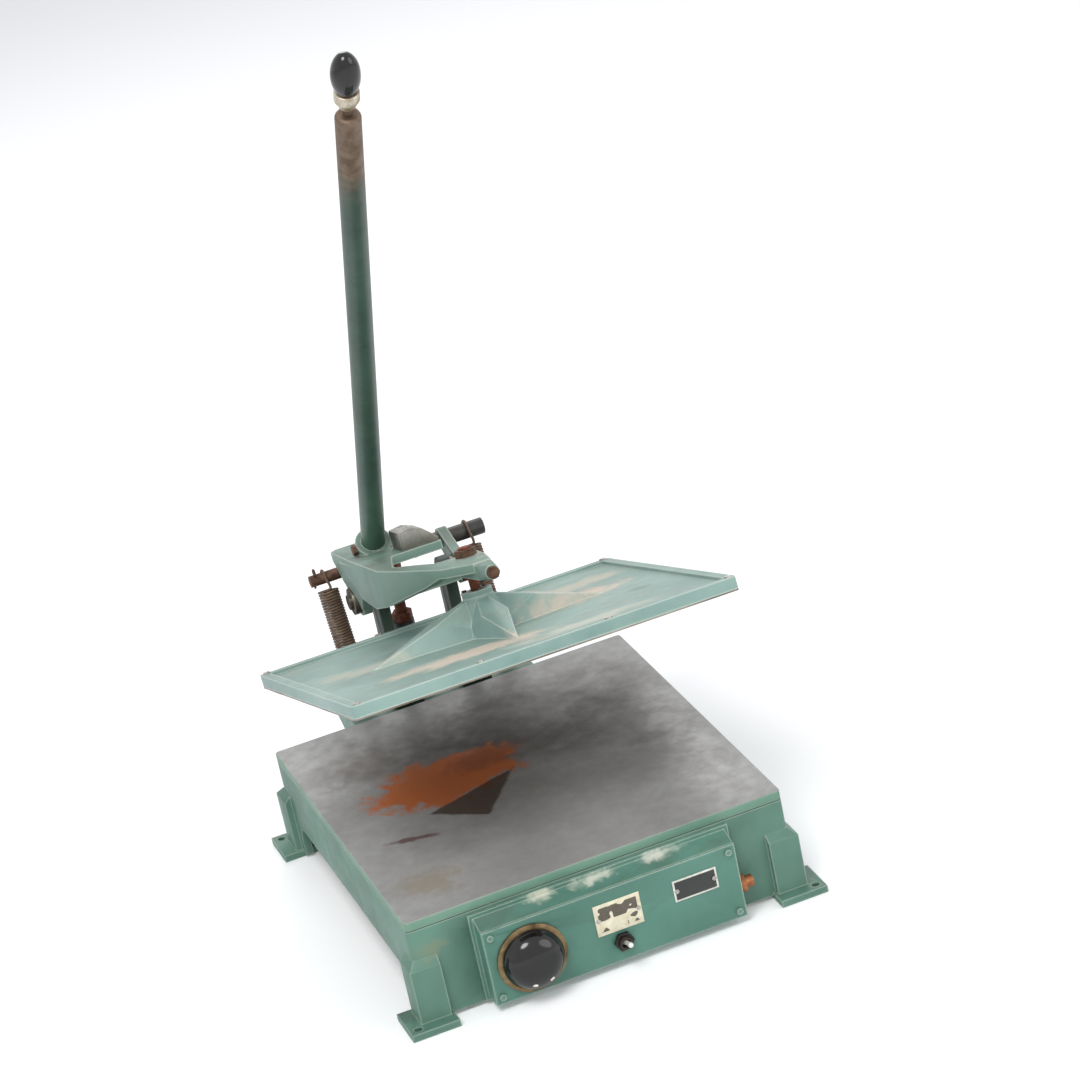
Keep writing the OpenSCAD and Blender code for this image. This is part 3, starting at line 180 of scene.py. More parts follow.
def ramp(tree, value, low, high, outLow=0.0, outHigh=1.0):
    node = addNode(tree, "ShaderNodeMapRange", {0: value, 1: low, 2: high, 3: outLow, 4: outHigh},
                   interpolation_type="SMOOTHSTEP")
    return node.outputs[0]


def noise(tree, place, scale, detail=4.0, roughness=0.55, distortion=0.0):
    return addNode(tree, "ShaderNodeTexNoise",
                   {"Vector": place, "Scale": scale, "Detail": detail, "Roughness": roughness,
                    "Distortion": distortion})


def newGroup(name, inputs, outputs):
    tree = bpy.data.node_groups.new(name, "ShaderNodeTree")
    for label, kind, value in inputs:
        socket = tree.interface.new_socket(label, in_out="INPUT", socket_type=kind)
        socket.default_value = value
    for label, kind in outputs:
        tree.interface.new_socket(label, in_out="OUTPUT", socket_type=kind)
    return tree, tree.nodes.new("NodeGroupInput").outputs, tree.nodes.new("NodeGroupOutput").inputs


# shared effects
def makeEdgeWear():
    # bare or pale edges: where a rounded normal leaves the true one, broken up by noise
    tree, given, result = newGroup("edgeWear", [
        ("Reach", "NodeSocketFloat", 0.003), ("Breakup", "NodeSocketFloat", 60.0),
        ("Amount", "NodeSocketFloat", 0.5)], [("Mask", "NodeSocketFloat")])
    place = addNode(tree, "ShaderNodeTexCoord").outputs["Object"]
    rounded = addNode(tree, "ShaderNodeBevel", {"Radius": given["Reach"]}, samples=4)
    true = addNode(tree, "ShaderNodeNewGeometry")
    dot = addNode(tree, "ShaderNodeVectorMath", {0: rounded.outputs[0], 1: true.outputs["Normal"]},
                  operation="DOT_PRODUCT")
    edge = maths(tree, "SUBTRACT", 1.0, dot.outputs["Value"])
    edge = ramp(tree, edge, 0.0, 0.16)
    broken = noise(tree, place, given["Breakup"], 5, 0.65).outputs["Fac"]
    coarse = noise(tree, place, maths(tree, "MULTIPLY", given["Breakup"], 0.18), 2, 0.5).outputs["Fac"]
    total = maths(tree, "MULTIPLY", edge, maths(tree, "ADD", broken, coarse))
    floor = maths(tree, "SUBTRACT", 1.15, given["Amount"])
    mask = addNode(tree, "ShaderNodeMapRange", {0: total, 1: floor,
                   2: maths(tree, "ADD", floor, 0.22)}, interpolation_type="SMOOTHSTEP")
    tree.links.new(mask.outputs[0], result["Mask"])
    return tree


def makeMottle():
    # slow and fast colour changes, from 0 to 1
    tree, given, result = newGroup("mottle", [
        ("Scale", "NodeSocketFloat", 20.0), ("Contrast", "NodeSocketFloat", 1.0)],
        [("Slow", "NodeSocketFloat"), ("Fast", "NodeSocketFloat")])
    place = addNode(tree, "ShaderNodeTexCoord").outputs["Object"]
    slow = noise(tree, place, given["Scale"], 3, 0.5, 0.4).outputs["Fac"]
    fast = noise(tree, place, maths(tree, "MULTIPLY", given["Scale"], 7.3), 6, 0.6).outputs["Fac"]
    for source, label in ((slow, "Slow"), (fast, "Fast")):
        centred = maths(tree, "SUBTRACT", source, 0.5)
        spread = maths(tree, "MULTIPLY_ADD", centred, maths(tree, "MULTIPLY", given["Contrast"], 2.4), 0.5,
                       clamp=True)
        tree.links.new(spread, result[label])
    return tree


def makeSettledDirt():
    # dust and grime on faces that look up
    tree, given, result = newGroup("settledDirt", [
        ("Scale", "NodeSocketFloat", 30.0), ("Amount", "NodeSocketFloat", 0.5)],
        [("Mask", "NodeSocketFloat")])
    coordinates = addNode(tree, "ShaderNodeTexCoord")
    apart = addNode(tree, "ShaderNodeSeparateXYZ", {0: coordinates.outputs["Normal"]})
    up = ramp(tree, apart.outputs["Z"], 0.3, 0.95)
    patches = noise(tree, coordinates.outputs["Object"], given["Scale"], 5, 0.6, 0.3).outputs["Fac"]
    mask = maths(tree, "MULTIPLY", ramp(tree, patches, 0.38, 0.68), up)
    tree.links.new(maths(tree, "MULTIPLY", mask, given["Amount"]), result["Mask"])
    return tree


def makePatch():
    # a soft, ragged blot at a place on the piece
    tree, given, result = newGroup("patch", [
        ("Centre", "NodeSocketVector", (0, 0, 0)), ("Size", "NodeSocketVector", (0.05, 0.05, 0.05)),
        ("Turn", "NodeSocketFloat", 0.0), ("Ragged", "NodeSocketFloat", 0.3),
        ("Grain", "NodeSocketFloat", 40.0), ("Softness", "NodeSocketFloat", 0.4)],
        [("Mask", "NodeSocketFloat")])
    place = addNode(tree, "ShaderNodeTexCoord").outputs["Object"]
    away = addNode(tree, "ShaderNodeVectorMath", {0: place, 1: given["Centre"]}, operation="SUBTRACT")
    turned = addNode(tree, "ShaderNodeVectorRotate", {"Vector": away.outputs[0], "Angle": given["Turn"]},
                     rotation_type="Z_AXIS")
    scaled = addNode(tree, "ShaderNodeVectorMath", {0: turned.outputs[0], 1: given["Size"]},
                     operation="DIVIDE")
    reach = addNode(tree, "ShaderNodeVectorMath", {0: scaled.outputs[0]}, operation="LENGTH")
    rough = noise(tree, place, given["Grain"], 5, 0.62, 0.5).outputs["Fac"]
    rough = maths(tree, "MULTIPLY", maths(tree, "SUBTRACT", rough, 0.5),
                  maths(tree, "MULTIPLY", given["Ragged"], 4))
    total = maths(tree, "ADD", reach.outputs["Value"], rough)
    mask = addNode(tree, "ShaderNodeMapRange", {0: total, 1: maths(tree, "SUBTRACT", 1.0, given["Softness"]),
                   2: 1.0, 3: 1.0, 4: 0.0}, interpolation_type="SMOOTHSTEP")
    tree.links.new(mask.outputs[0], result["Mask"])
    return tree


def makeCastSkin():
    # height of a painted casting: orange peel, small pits and slow waves
    tree, given, result = newGroup("castSkin", [("Scale", "NodeSocketFloat", 1.0)],
                                   [("Height", "NodeSocketFloat")])
    place = addNode(tree, "ShaderNodeTexCoord").outputs["Object"]
    peel = noise(tree, place, maths(tree, "MULTIPLY", given["Scale"], 420), 3, 0.5).outputs["Fac"]
    waves = noise(tree, place, maths(tree, "MULTIPLY", given["Scale"], 45), 2, 0.5).outputs["Fac"]
    pits = noise(tree, place, maths(tree, "MULTIPLY", given["Scale"], 160), 2, 0.5).outputs["Fac"]
    pits = ramp(tree, pits, 0.30, 0.36)
    height = maths(tree, "ADD", maths(tree, "MULTIPLY", peel, 0.25), maths(tree, "MULTIPLY", waves, 0.6))
    height = maths(tree, "ADD", height, maths(tree, "MULTIPLY", pits, 0.35))
    tree.links.new(height, result["Height"])
    return tree


print("shared effects")
edgeWear = makeEdgeWear()
mottle = makeMottle()
settledDirt = makeSettledDirt()
patch = makePatch()
castSkin = makeCastSkin()


def useGroup(tree, group, inputs=None):
    node = tree.nodes.new("ShaderNodeGroup")
    node.node_tree = group
    for key, value in (inputs or {}).items():
        if hasattr(value, "is_output"):
            tree.links.new(value, node.inputs[key])
        else:
            node.inputs[key].default_value = value
    return node.outputs


def newMaterial(name):
    material = bpy.data.materials.new(name)
    material.use_nodes = True
    tree = material.node_tree
    tree.nodes.clear()
    out = tree.nodes.new("ShaderNodeOutputMaterial")
    shader = tree.nodes.new("ShaderNodeBsdfPrincipled")
    tree.links.new(shader.outputs[0], out.inputs["Surface"])
    return material, tree, shader


def blot(tree, centre, size, turn=0.0, ragged=0.3, grain=40.0, softness=0.4):
    return useGroup(tree, patch, {"Centre": centre, "Size": size, "Turn": math.radians(turn),
                                  "Ragged": ragged, "Grain": grain, "Softness": softness})["Mask"]


def finishSurface(tree, shader, colour, roughness, height=None, strength=0.3, distance=0.0006):
    tree.links.new(colour, shader.inputs["Base Color"])
    if hasattr(roughness, "is_output"):
        tree.links.new(roughness, shader.inputs["Roughness"])
    else:
        shader.inputs["Roughness"].default_value = roughness
    if height is not None:
        bump = addNode(tree, "ShaderNodeBump", {"Height": height, "Strength": strength, "Distance": distance})
        tree.links.new(bump.outputs[0], shader.inputs["Normal"])


# green paint over cast iron, worn pale at its edges
paints = {
    "basePaint": {"deep": (64, 98, 84), "pale": (92, 132, 116),
        "worn": (164, 178, 164), "grime": (62, 68, 56),
        "wear": 0.62, "dirt": 0.35, "rough": 0.46},
    "boxPaint": {"deep": (62, 104, 90), "pale": (86, 134, 118),
        "worn": (188, 198, 184), "grime": (66, 72, 58),
        "wear": 0.6, "dirt": 0.4, "rough": 0.42},
    "armPaint": {"deep": (78, 108, 96), "pale": (122, 148, 136),
        "worn": (200, 206, 192), "grime": (78, 70, 52),
        "wear": 0.85, "dirt": 0.5, "rough": 0.52},
    "postPaint": {"deep": (30, 44, 37), "pale": (48, 66, 56),
        "worn": (110, 110, 94), "grime": (44, 36, 28),
        "wear": 0.6, "dirt": 0.5, "rough": 0.55},
    "platenPaint": {"deep": (108, 138, 130), "pale": (142, 168, 160),
        "worn": (206, 214, 204), "grime": (118, 120, 98),
        "wear": 0.8, "dirt": 0.3, "rough": 0.44},
}


def makePaint(name, blots=()):
    look = paints[name]
    material, tree, shader = newMaterial(name)
    spread = useGroup(tree, mottle, {"Scale": 9.0, "Contrast": 1.0})
    colour = mixColours(tree, spread["Slow"], tone(*look["deep"]), tone(*look["pale"]))
    colour = mixColours(tree, maths(tree, "MULTIPLY", spread["Fast"], 0.3), colour, tone(*look["pale"]))
    dirt = useGroup(tree, settledDirt, {"Scale": 26.0, "Amount": look["dirt"]})["Mask"]
    colour = mixColours(tree, dirt, colour, tone(*look["grime"]))
    rough = maths(tree, "MULTIPLY_ADD", spread["Fast"], 0.16, look["rough"] - 0.05)
    for centre, size, turn, ragged, grain, softness, strength, patchColour in blots:
        mask = blot(tree, centre, size, turn, ragged, grain, softness)
        mask = maths(tree, "MULTIPLY", mask, strength)
        colour = mixColours(tree, mask, colour, tone(*patchColour))
        rough = mixValues(tree, mask, rough, 0.7)
    wear = useGroup(tree, edgeWear, {"Reach": 0.0028, "Breakup": 90.0, "Amount": look["wear"]})["Mask"]
    colour = mixColours(tree, maths(tree, "MULTIPLY", wear, 0.8), colour, tone(*look["worn"]))
    rough = mixValues(tree, wear, rough, 0.6)
    skin = useGroup(tree, castSkin, {"Scale": 1.0})["Height"]
    height = maths(tree, "SUBTRACT", skin, maths(tree, "MULTIPLY", wear, 0.25))
    finishSurface(tree, shader, colour, rough, height, 0.35, 0.0005)
    return material


# plain metals, with their tarnish
metals = {
    "bareSteel": {"base": (150, 148, 142), "patchColour": (104, 96, 84),
        "rough": 0.42, "metallic": 0.85, "scale": 60},
    "shaftSteel": {"base": (140, 136, 128), "patchColour": (84, 74, 62),
        "rough": 0.36, "metallic": 0.9, "scale": 80},
    "rustySteel": {"base": (112, 84, 66), "patchColour": (74, 48, 34),
        "rough": 0.68, "metallic": 0.35, "scale": 130},
    "redRust": {"base": (134, 74, 48), "patchColour": (78, 44, 32),
        "rough": 0.8, "metallic": 0.12, "scale": 150},
    "springSteel": {"base": (124, 104, 86), "patchColour": (84, 66, 52),
        "rough": 0.6, "metallic": 0.35, "scale": 90},
    "blockSteel": {"base": (158, 158, 152), "patchColour": (108, 104, 94),
        "rough": 0.4, "metallic": 0.8, "scale": 50},
    "ferruleMetal": {"base": (206, 198, 180), "patchColour": (140, 122, 98),
        "rough": 0.4, "metallic": 0.6, "scale": 90},
    "neckSteel": {"base": (110, 90, 72), "patchColour": (70, 52, 40),
        "rough": 0.55, "metallic": 0.5, "scale": 120},
    "dialBrass": {"base": (150, 128, 92), "patchColour": (84, 68, 46),
        "rough": 0.42, "metallic": 0.75, "scale": 70},
    "bushBronze": {"base": (160, 122, 74), "patchColour": (96, 68, 40),
        "rough": 0.4, "metallic": 0.85, "scale": 70},
    "glandBrass": {"base": (176, 118, 78), "patchColour": (120, 70, 44),
        "rough": 0.42, "metallic": 0.75, "scale": 110},
    "copper": {"base": (172, 104, 70), "patchColour": (110, 62, 44),
        "rough": 0.4, "metallic": 0.85, "scale": 90},
    "rivetMetal": {"base": (206, 204, 198), "patchColour": (150, 144, 132),
        "rough": 0.35, "metallic": 0.8, "scale": 120},
    "chromeBat": {"base": (246, 246, 244), "patchColour": (214, 212, 206),
        "rough": 0.2, "metallic": 0.3, "scale": 60},
    "sheath": {"base": (104, 92, 84), "patchColour": (66, 60, 66),
        "rough": 0.5, "metallic": 0.7, "scale": 40},
    "faceSheet": {"base": (150, 144, 132), "patchColour": (96, 84, 70),
        "rough": 0.5, "metallic": 0.6, "scale": 14},
    "pedestalIron": {"base": (56, 60, 56), "patchColour": (30, 30, 28),
        "rough": 0.5, "metallic": 0.4, "scale": 60},
    "blackMetal": {"base": (26, 26, 26), "patchColour": (52, 50, 46),
        "rough": 0.38, "metallic": 0.5, "scale": 90},
}


def makeMetal(name):
    look = metals[name]
    material, tree, shader = newMaterial(name)
    spread = useGroup(tree, mottle, {"Scale": float(look["scale"]), "Contrast": 1.2})
    colour = mixColours(tree, spread["Slow"], tone(*look["base"]), tone(*look["patchColour"]))
    colour = mixColours(tree, maths(tree, "MULTIPLY", spread["Fast"], 0.35), colour, tone(*look["patchColour"]))
    wear = useGroup(tree, edgeWear, {"Reach": 0.0009, "Breakup": 220.0, "Amount": 0.6})["Mask"]
    brighter = [min(255, value + 40) for value in look["base"]]
    colour = mixColours(tree, maths(tree, "MULTIPLY", wear, 0.5), colour, tone(*brighter))
    rough = maths(tree, "MULTIPLY_ADD", spread["Slow"], 0.2, look["rough"] - 0.08)
    shader.inputs["Metallic"].default_value = look["metallic"]
    finishSurface(tree, shader, colour, rough, spread["Fast"], 0.2, 0.0002)
    return material


# mouldings, board and sleeving
mouldings = {
    "glossKnob": {"base": (14, 14, 15), "vary": (26, 25, 24), "rough": 0.12, "bump": 0.02, "scale": 60},
    "bakelite": {"base": (44, 36, 30), "vary": (62, 50, 40), "rough": 0.36, "bump": 0.06, "scale": 90},
    "sleeveRubber": {"base": (30, 29, 29), "vary": (62, 58, 54), "rough": 0.48, "bump": 0.15, "scale": 90},
    "ceramic": {"base": (222, 217, 202), "vary": (196, 188, 168), "rough": 0.28, "bump": 0.05, "scale": 60},
    "board": {"base": (212, 206, 188), "vary": (178, 168, 146), "rough": 0.9, "bump": 0.5, "scale": 160},
    "sleeving": {"base": (216, 208, 186), "vary": (176, 164, 136), "rough": 0.85, "bump": 0.6, "scale": 320},
}


def makeMoulding(name):
    look = mouldings[name]
    material, tree, shader = newMaterial(name)
    spread = useGroup(tree, mottle, {"Scale": float(look["scale"]), "Contrast": 1.0})
    colour = mixColours(tree, spread["Slow"], tone(*look["base"]), tone(*look["vary"]))
    rough = maths(tree, "MULTIPLY_ADD", spread["Fast"], 0.12, look["rough"] - 0.04)
    finishSurface(tree, shader, colour, rough, spread["Fast"], look["bump"], 0.0003)
    return material


print("materials")

def makeBedMetal():
    # mottled bare metal with burnt and rusty blots, a painted shadow of the platen over the rear half, and a
    # painted rim
    material, tree, shader = newMaterial("bedMetal")
    coordinates = addNode(tree, "ShaderNodeTexCoord")
    spread = useGroup(tree, mottle, {"Scale": 11.0, "Contrast": 0.75})
    colour = mixColours(tree, spread["Slow"], tone(142, 142, 140), tone(178, 178, 177))
    colour = mixColours(tree, maths(tree, "MULTIPLY", spread["Fast"], 0.4), colour, tone(112, 108, 102))
    rough = maths(tree, "MULTIPLY_ADD", spread["Fast"], 0.2, 0.42)
    blots = [
        # the first blot, large and dark over the rear of the bed, is partly a painted shadow of the platen
        # and partly burnt metal
        ((0.04, 0.1, 0.108), (0.18, 0.13, 0.05), 0, 0.22, 18, 0.8, 0.84, (62, 58, 51)),
        ((-0.12, 0.12, 0.108), (0.08, 0.06, 0.05), 20, 0.3, 24, 0.8, 0.6, (88, 80, 72)),
        ((0.12, -0.02, 0.108), (0.03, 0.02, 0.05), 0, 0.4, 50, 0.9, 0.5, (104, 98, 92)),
        ((-0.14, -0.15, 0.108), (0.042, 0.034, 0.05), 0, 0.5, 60, 0.8, 0.45, (142, 126, 94)),
        ((-0.064, 0.032, 0.108), (0.088, 0.052, 0.05), -6, 0.3, 44, 0.3, 0.95, (194, 104, 42)),
        ((-0.02, 0.05, 0.108), (0.05, 0.03, 0.05), -10, 0.3, 60, 0.7, 0.6, (120, 58, 26)),
        ((-0.126, -0.061, 0.108), (0.036, 0.0055, 0.05), 15, 0.4, 60, 0.6, 0.8, (92, 56, 54)),
    ]
    for centre, size, turn, ragged, grain, softness, strength, patchColour in blots:
        mask = maths(tree, "MULTIPLY", blot(tree, centre, size, turn, ragged, grain, softness), strength)
        colour = mixColours(tree, mask, colour, tone(*patchColour))
    # straight-edged brown mark: inside three lines, each a direction and a distance in metres
    apart = addNode(tree, "ShaderNodeSeparateXYZ", {0: coordinates.outputs["Object"]})
    frayed = noise(tree, coordinates.outputs["Object"], 90.0, 4, 0.6).outputs["Fac"]
    within = maths(tree, "MULTIPLY", maths(tree, "SUBTRACT", frayed, 0.5), 0.006)
    inside = None
    for alongX, alongY, start in ((0.63, 0.777, 0.0848), (-0.824, 0.566, -0.0049), (0.324, -0.946, 0.0113)):
        reach = maths(tree, "MULTIPLY_ADD", apart.outputs["X"], alongX, start)
        reach = maths(tree, "MULTIPLY_ADD", apart.outputs["Y"], alongY, reach)
        inside = reach if inside is None else maths(tree, "MINIMUM", inside, reach)
    brown = ramp(tree, maths(tree, "ADD", inside, within), 0.0, 0.004)
    colour = mixColours(tree, maths(tree, "MULTIPLY", brown, 0.88), colour, tone(66, 48, 32))
    # the rim below the face is painted as the base is
    height = addNode(tree, "ShaderNodeSeparateXYZ", {0: coordinates.outputs["Object"]}).outputs["Z"]
    facing = addNode(tree, "ShaderNodeSeparateXYZ", {0: coordinates.outputs["Normal"]}).outputs["Z"]
    painted = maths(tree, "SUBTRACT", 1.0, ramp(tree, facing, 0.55, 0.8))
    green = mixColours(tree, spread["Slow"], tone(84, 124, 106), tone(116, 152, 132))
    edge = useGroup(tree, edgeWear, {"Reach": 0.003, "Breakup": 60.0, "Amount": 0.75})["Mask"]
    green = mixColours(tree, edge, green, tone(176, 176, 156))
    colour = mixColours(tree, painted, colour, green)
    # dark line where the bed plate sits on the casting
    seam = ramp(tree, height, 0.0985, 0.0993)
    colour = mixColours(tree, maths(tree, "MULTIPLY", painted, maths(tree, "SUBTRACT", 1.0, seam)), colour,
                        tone(34, 40, 34))
    metallic = maths(tree, "MULTIPLY", maths(tree, "SUBTRACT", 1.0, painted), 0.35)
    tree.links.new(metallic, shader.inputs["Metallic"])
    finishSurface(tree, shader, colour, rough, spread["Fast"], 0.25, 0.0003)
    return material


switchPlate = {"x": 0.004, "z": 0.056, "halfWidth": 0.0195, "halfHeight": 0.0125, "windowHalfWidth": 0.0075,
               "windowTop": -0.001, "darkFrom": 0.42}
ratingPlate = {"x": 0.082, "z": 0.058, "halfWidth": 0.0202, "halfHeight": 0.0092}


def makeSwitchPlate():
    # cream sheet with a plain dark pattern above and a cream square below it
    material, tree, shader = newMaterial("switchPlateFace")
    place = addNode(tree, "ShaderNodeTexCoord").outputs["Object"]
    apart = addNode(tree, "ShaderNodeSeparateXYZ", {0: place})
    dx = maths(tree, "ABSOLUTE", maths(tree, "SUBTRACT", apart.outputs["X"], switchPlate["x"]))
    dz = maths(tree, "SUBTRACT", apart.outputs["Z"], switchPlate["z"])
    inside = maths(tree, "MULTIPLY", maths(tree, "LESS_THAN", dx, switchPlate["halfWidth"]),
                   maths(tree, "LESS_THAN", maths(tree, "ABSOLUTE", dz), switchPlate["halfHeight"]))
    waves = addNode(tree, "ShaderNodeTexWave", {"Vector": place, "Scale": 62.0, "Distortion": 5.0,
                    "Detail": 1.0, "Detail Scale": 1.4}, wave_type="RINGS").outputs["Fac"]
    dark = maths(tree, "MULTIPLY", inside, maths(tree, "GREATER_THAN", waves, switchPlate["darkFrom"]))
    window = maths(tree, "MULTIPLY", maths(tree, "LESS_THAN", dx, switchPlate["windowHalfWidth"]),
                   maths(tree, "LESS_THAN", dz, switchPlate["windowTop"]))
    dark = maths(tree, "MULTIPLY", dark, maths(tree, "SUBTRACT", 1.0, window))
    spread = useGroup(tree, mottle, {"Scale": 120.0, "Contrast": 1.0})
    cream = mixColours(tree, spread["Slow"], tone(206, 196, 164), tone(232, 226, 204))
    colour = mixColours(tree, maths(tree, "MULTIPLY", dark, 0.9), cream, tone(52, 44, 36))
    finishSurface(tree, shader, colour, 0.42, spread["Fast"], 0.08, 0.0002)
    return material


def makeRatingPlate():
    # bare dark field inside a pale border
    material, tree, shader = newMaterial("ratingPlateFace")
    place = addNode(tree, "ShaderNodeTexCoord").outputs["Object"]
    apart = addNode(tree, "ShaderNodeSeparateXYZ", {0: place})
    dx = maths(tree, "ABSOLUTE", maths(tree, "SUBTRACT", apart.outputs["X"], ratingPlate["x"]))
    dz = maths(tree, "ABSOLUTE", maths(tree, "SUBTRACT", apart.outputs["Z"], ratingPlate["z"]))
    field = maths(tree, "MULTIPLY", maths(tree, "LESS_THAN", dx, ratingPlate["halfWidth"]),
                  maths(tree, "LESS_THAN", dz, ratingPlate["halfHeight"]))
    spread = useGroup(tree, mottle, {"Scale": 140.0, "Contrast": 1.2})
    pale = mixColours(tree, spread["Slow"], tone(226, 224, 214), tone(190, 190, 178))
    dark = mixColours(tree, spread["Fast"], tone(34, 36, 36), tone(58, 60, 58))
    finishSurface(tree, shader, mixColours(tree, field, pale, dark), 0.4, spread["Fast"], 0.08, 0.0002)
    return material


def makeDialMarks():
    # pale filling of the two marks on the dial
    material, tree, shader = newMaterial("dialMarks")
    spread = useGroup(tree, mottle, {"Scale": 300.0, "Contrast": 1.0})
    colour = mixColours(tree, spread["Slow"], tone(236, 234, 226), tone(206, 202, 190))
    finishSurface(tree, shader, colour, 0.5, spread["Fast"], 0.1, 0.0002)
    return material


# the pole stands from its socket up to this shoulder
pole = {"foot": (-0.04, 0.2156, 0.2807), "lean": 29.0, "length": 0.61, "bareFrom": 0.105, "bareFully": 0.06}
poleWay = Vector((0, -math.sin(math.radians(pole["lean"])), math.cos(math.radians(pole["lean"]))))


def alongPole(distance):
    return Vector(pole["foot"]) + poleWay * distance


def makePolePaint():
    # dark green, rubbed through to brown metal near the top
    material, tree, shader = newMaterial("polePaint")
    place = addNode(tree, "ShaderNodeTexCoord").outputs["Object"]
    spread = useGroup(tree, mottle, {"Scale": 16.0, "Contrast": 1.2})
    away = addNode(tree, "ShaderNodeVectorMath", {0: place, 1: pole["foot"]}, operation="SUBTRACT")
    up = addNode(tree, "ShaderNodeVectorMath", {0: away.outputs[0], 1: tuple(poleWay)},
                 operation="DOT_PRODUCT")
    ragged = noise(tree, place, 46.0, 5, 0.6).outputs["Fac"]
    ragged = maths(tree, "MULTIPLY", maths(tree, "SUBTRACT", ragged, 0.5), 0.07)
    height = maths(tree, "ADD", up.outputs["Value"], ragged)
    bare = ramp(tree, height, pole["length"] - pole["bareFrom"], pole["length"] - pole["bareFully"])
    # the green darkens towards the top of the pole and turns paler near its foot
    darkerUpward = ramp(tree, height, 0.3, pole["length"])
    green = mixColours(tree, spread["Slow"], tone(38, 60, 50), tone(56, 82, 70))
    green = mixColours(tree, maths(tree, "MULTIPLY", spread["Fast"], 0.2), green, tone(80, 104, 90))
    green = mixColours(tree, maths(tree, "MULTIPLY", darkerUpward, 0.3), green, tone(38, 50, 44))
    brown = mixColours(tree, spread["Fast"], tone(92, 74, 60), tone(122, 104, 88))
    colour = mixColours(tree, bare, green, brown)
    low = maths(tree, "SUBTRACT", 1.0, ramp(tree, height, 0.0, 0.16))
    colour = mixColours(tree, maths(tree, "MULTIPLY", low, 0.3), colour, tone(96, 134, 114))
    rough = mixValues(tree, bare, 0.38, 0.5)
    tree.links.new(maths(tree, "MULTIPLY", bare, 0.55), shader.inputs["Metallic"])
    skin = useGroup(tree, castSkin, {"Scale": 1.4})["Height"]
    finishSurface(tree, shader, colour, rough, skin, 0.2, 0.0003)
    return material


ball = {"centre": (0, 0.00217, 0.29405), "tilt": 18.0}


def onPlaten(x, v, w=-0.033):
    # a place on the open platen: x across, v to the rear along it, w square to it
    cosine, sine = math.cos(math.radians(ball["tilt"])), math.sin(math.radians(ball["tilt"]))
    return (x, ball["centre"][1] + v * cosine + w * sine, ball["centre"][2] - v * sine + w * cosine)


# blots: centre, size, turn, raggedness, grain, softness, strength and colour
platenBlots = [
    (onPlaten(-0.05, -0.1), (0.1, 0.036, 0.05), 8, 0.35, 40, 0.6, 0.8, (208, 190, 172)),
    (onPlaten(0.09, 0.02), (0.085, 0.045, 0.05), -15, 0.4, 34, 0.7, 0.8, (212, 192, 174)),
    (onPlaten(0.12, 0.11), (0.07, 0.04, 0.05), 0, 0.4, 34, 0.7, 0.65, (200, 190, 172)),
    (onPlaten(-0.12, 0.02), (0.06, 0.035, 0.05), 30, 0.4, 34, 0.7, 0.55, (198, 192, 174)),
    (onPlaten(0.05, -0.15), (0.1, 0.022, 0.05), 0, 0.5, 34, 0.8, 0.6, (204, 200, 184)),
    (onPlaten(-0.02, 0.09), (0.05, 0.04, 0.05), 0, 0.5, 40, 0.8, 0.6, (170, 140, 106)),
    (onPlaten(0.14, -0.05), (0.02, 0.012, 0.05), 0, 0.5, 60, 0.9, 0.4, (90, 110, 98)),
]
baseBlots = [
    ((-0.17, -0.212, 0.075), (0.03, 0.01, 0.014), 0, 0.4, 60, 0.8, 0.5, (130, 130, 100)),
    # painted shade: the base casting darkens in a low band near the floor
    ((0, 0.0, 0.0), (0.3, 0.3, 0.02), 0, 0.2, 30, 0.9, 0.3, (60, 80, 70)),
]
boxBlots = [
    ((-0.06, -0.211, 0.092), (0.018, 0.01, 0.01), 0, 0.5, 70, 0.8, 0.8, (206, 204, 184)),
    ((-0.005, -0.214, 0.09), (0.03, 0.01, 0.01), 0, 0.5, 70, 0.8, 0.7, (214, 212, 194)),
    ((0.06, -0.214, 0.091), (0.026, 0.01, 0.01), 0, 0.5, 70, 0.8, 0.7, (220, 218, 204)),
]
armBlots = [
    ((0.03, 0.09, 0.32), (0.03, 0.05, 0.03), 0, 0.5, 60, 0.8, 0.5, (198, 200, 182)),
    ((0.0, 0.02, 0.33), (0.02, 0.05, 0.04), 0, 0.4, 70, 0.8, 0.5, (186, 196, 180)),
]

materials = {
    "basePaint": makePaint("basePaint", baseBlots),
    "boxPaint": makePaint("boxPaint", boxBlots),
    "armPaint": makePaint("armPaint", armBlots),
    "postPaint": makePaint("postPaint"),
    "platenPaint": makePaint("platenPaint", platenBlots),
    "bedMetal": makeBedMetal(),
    "switchPlateFace": makeSwitchPlate(),
    "ratingPlateFace": makeRatingPlate(),
    "polePaint": makePolePaint(),
    "dialMarks": makeDialMarks(),
}
for metalName in metals:
    materials[metalName] = makeMetal(metalName)
for mouldingName in mouldings:
    materials[mouldingName] = makeMoulding(mouldingName)


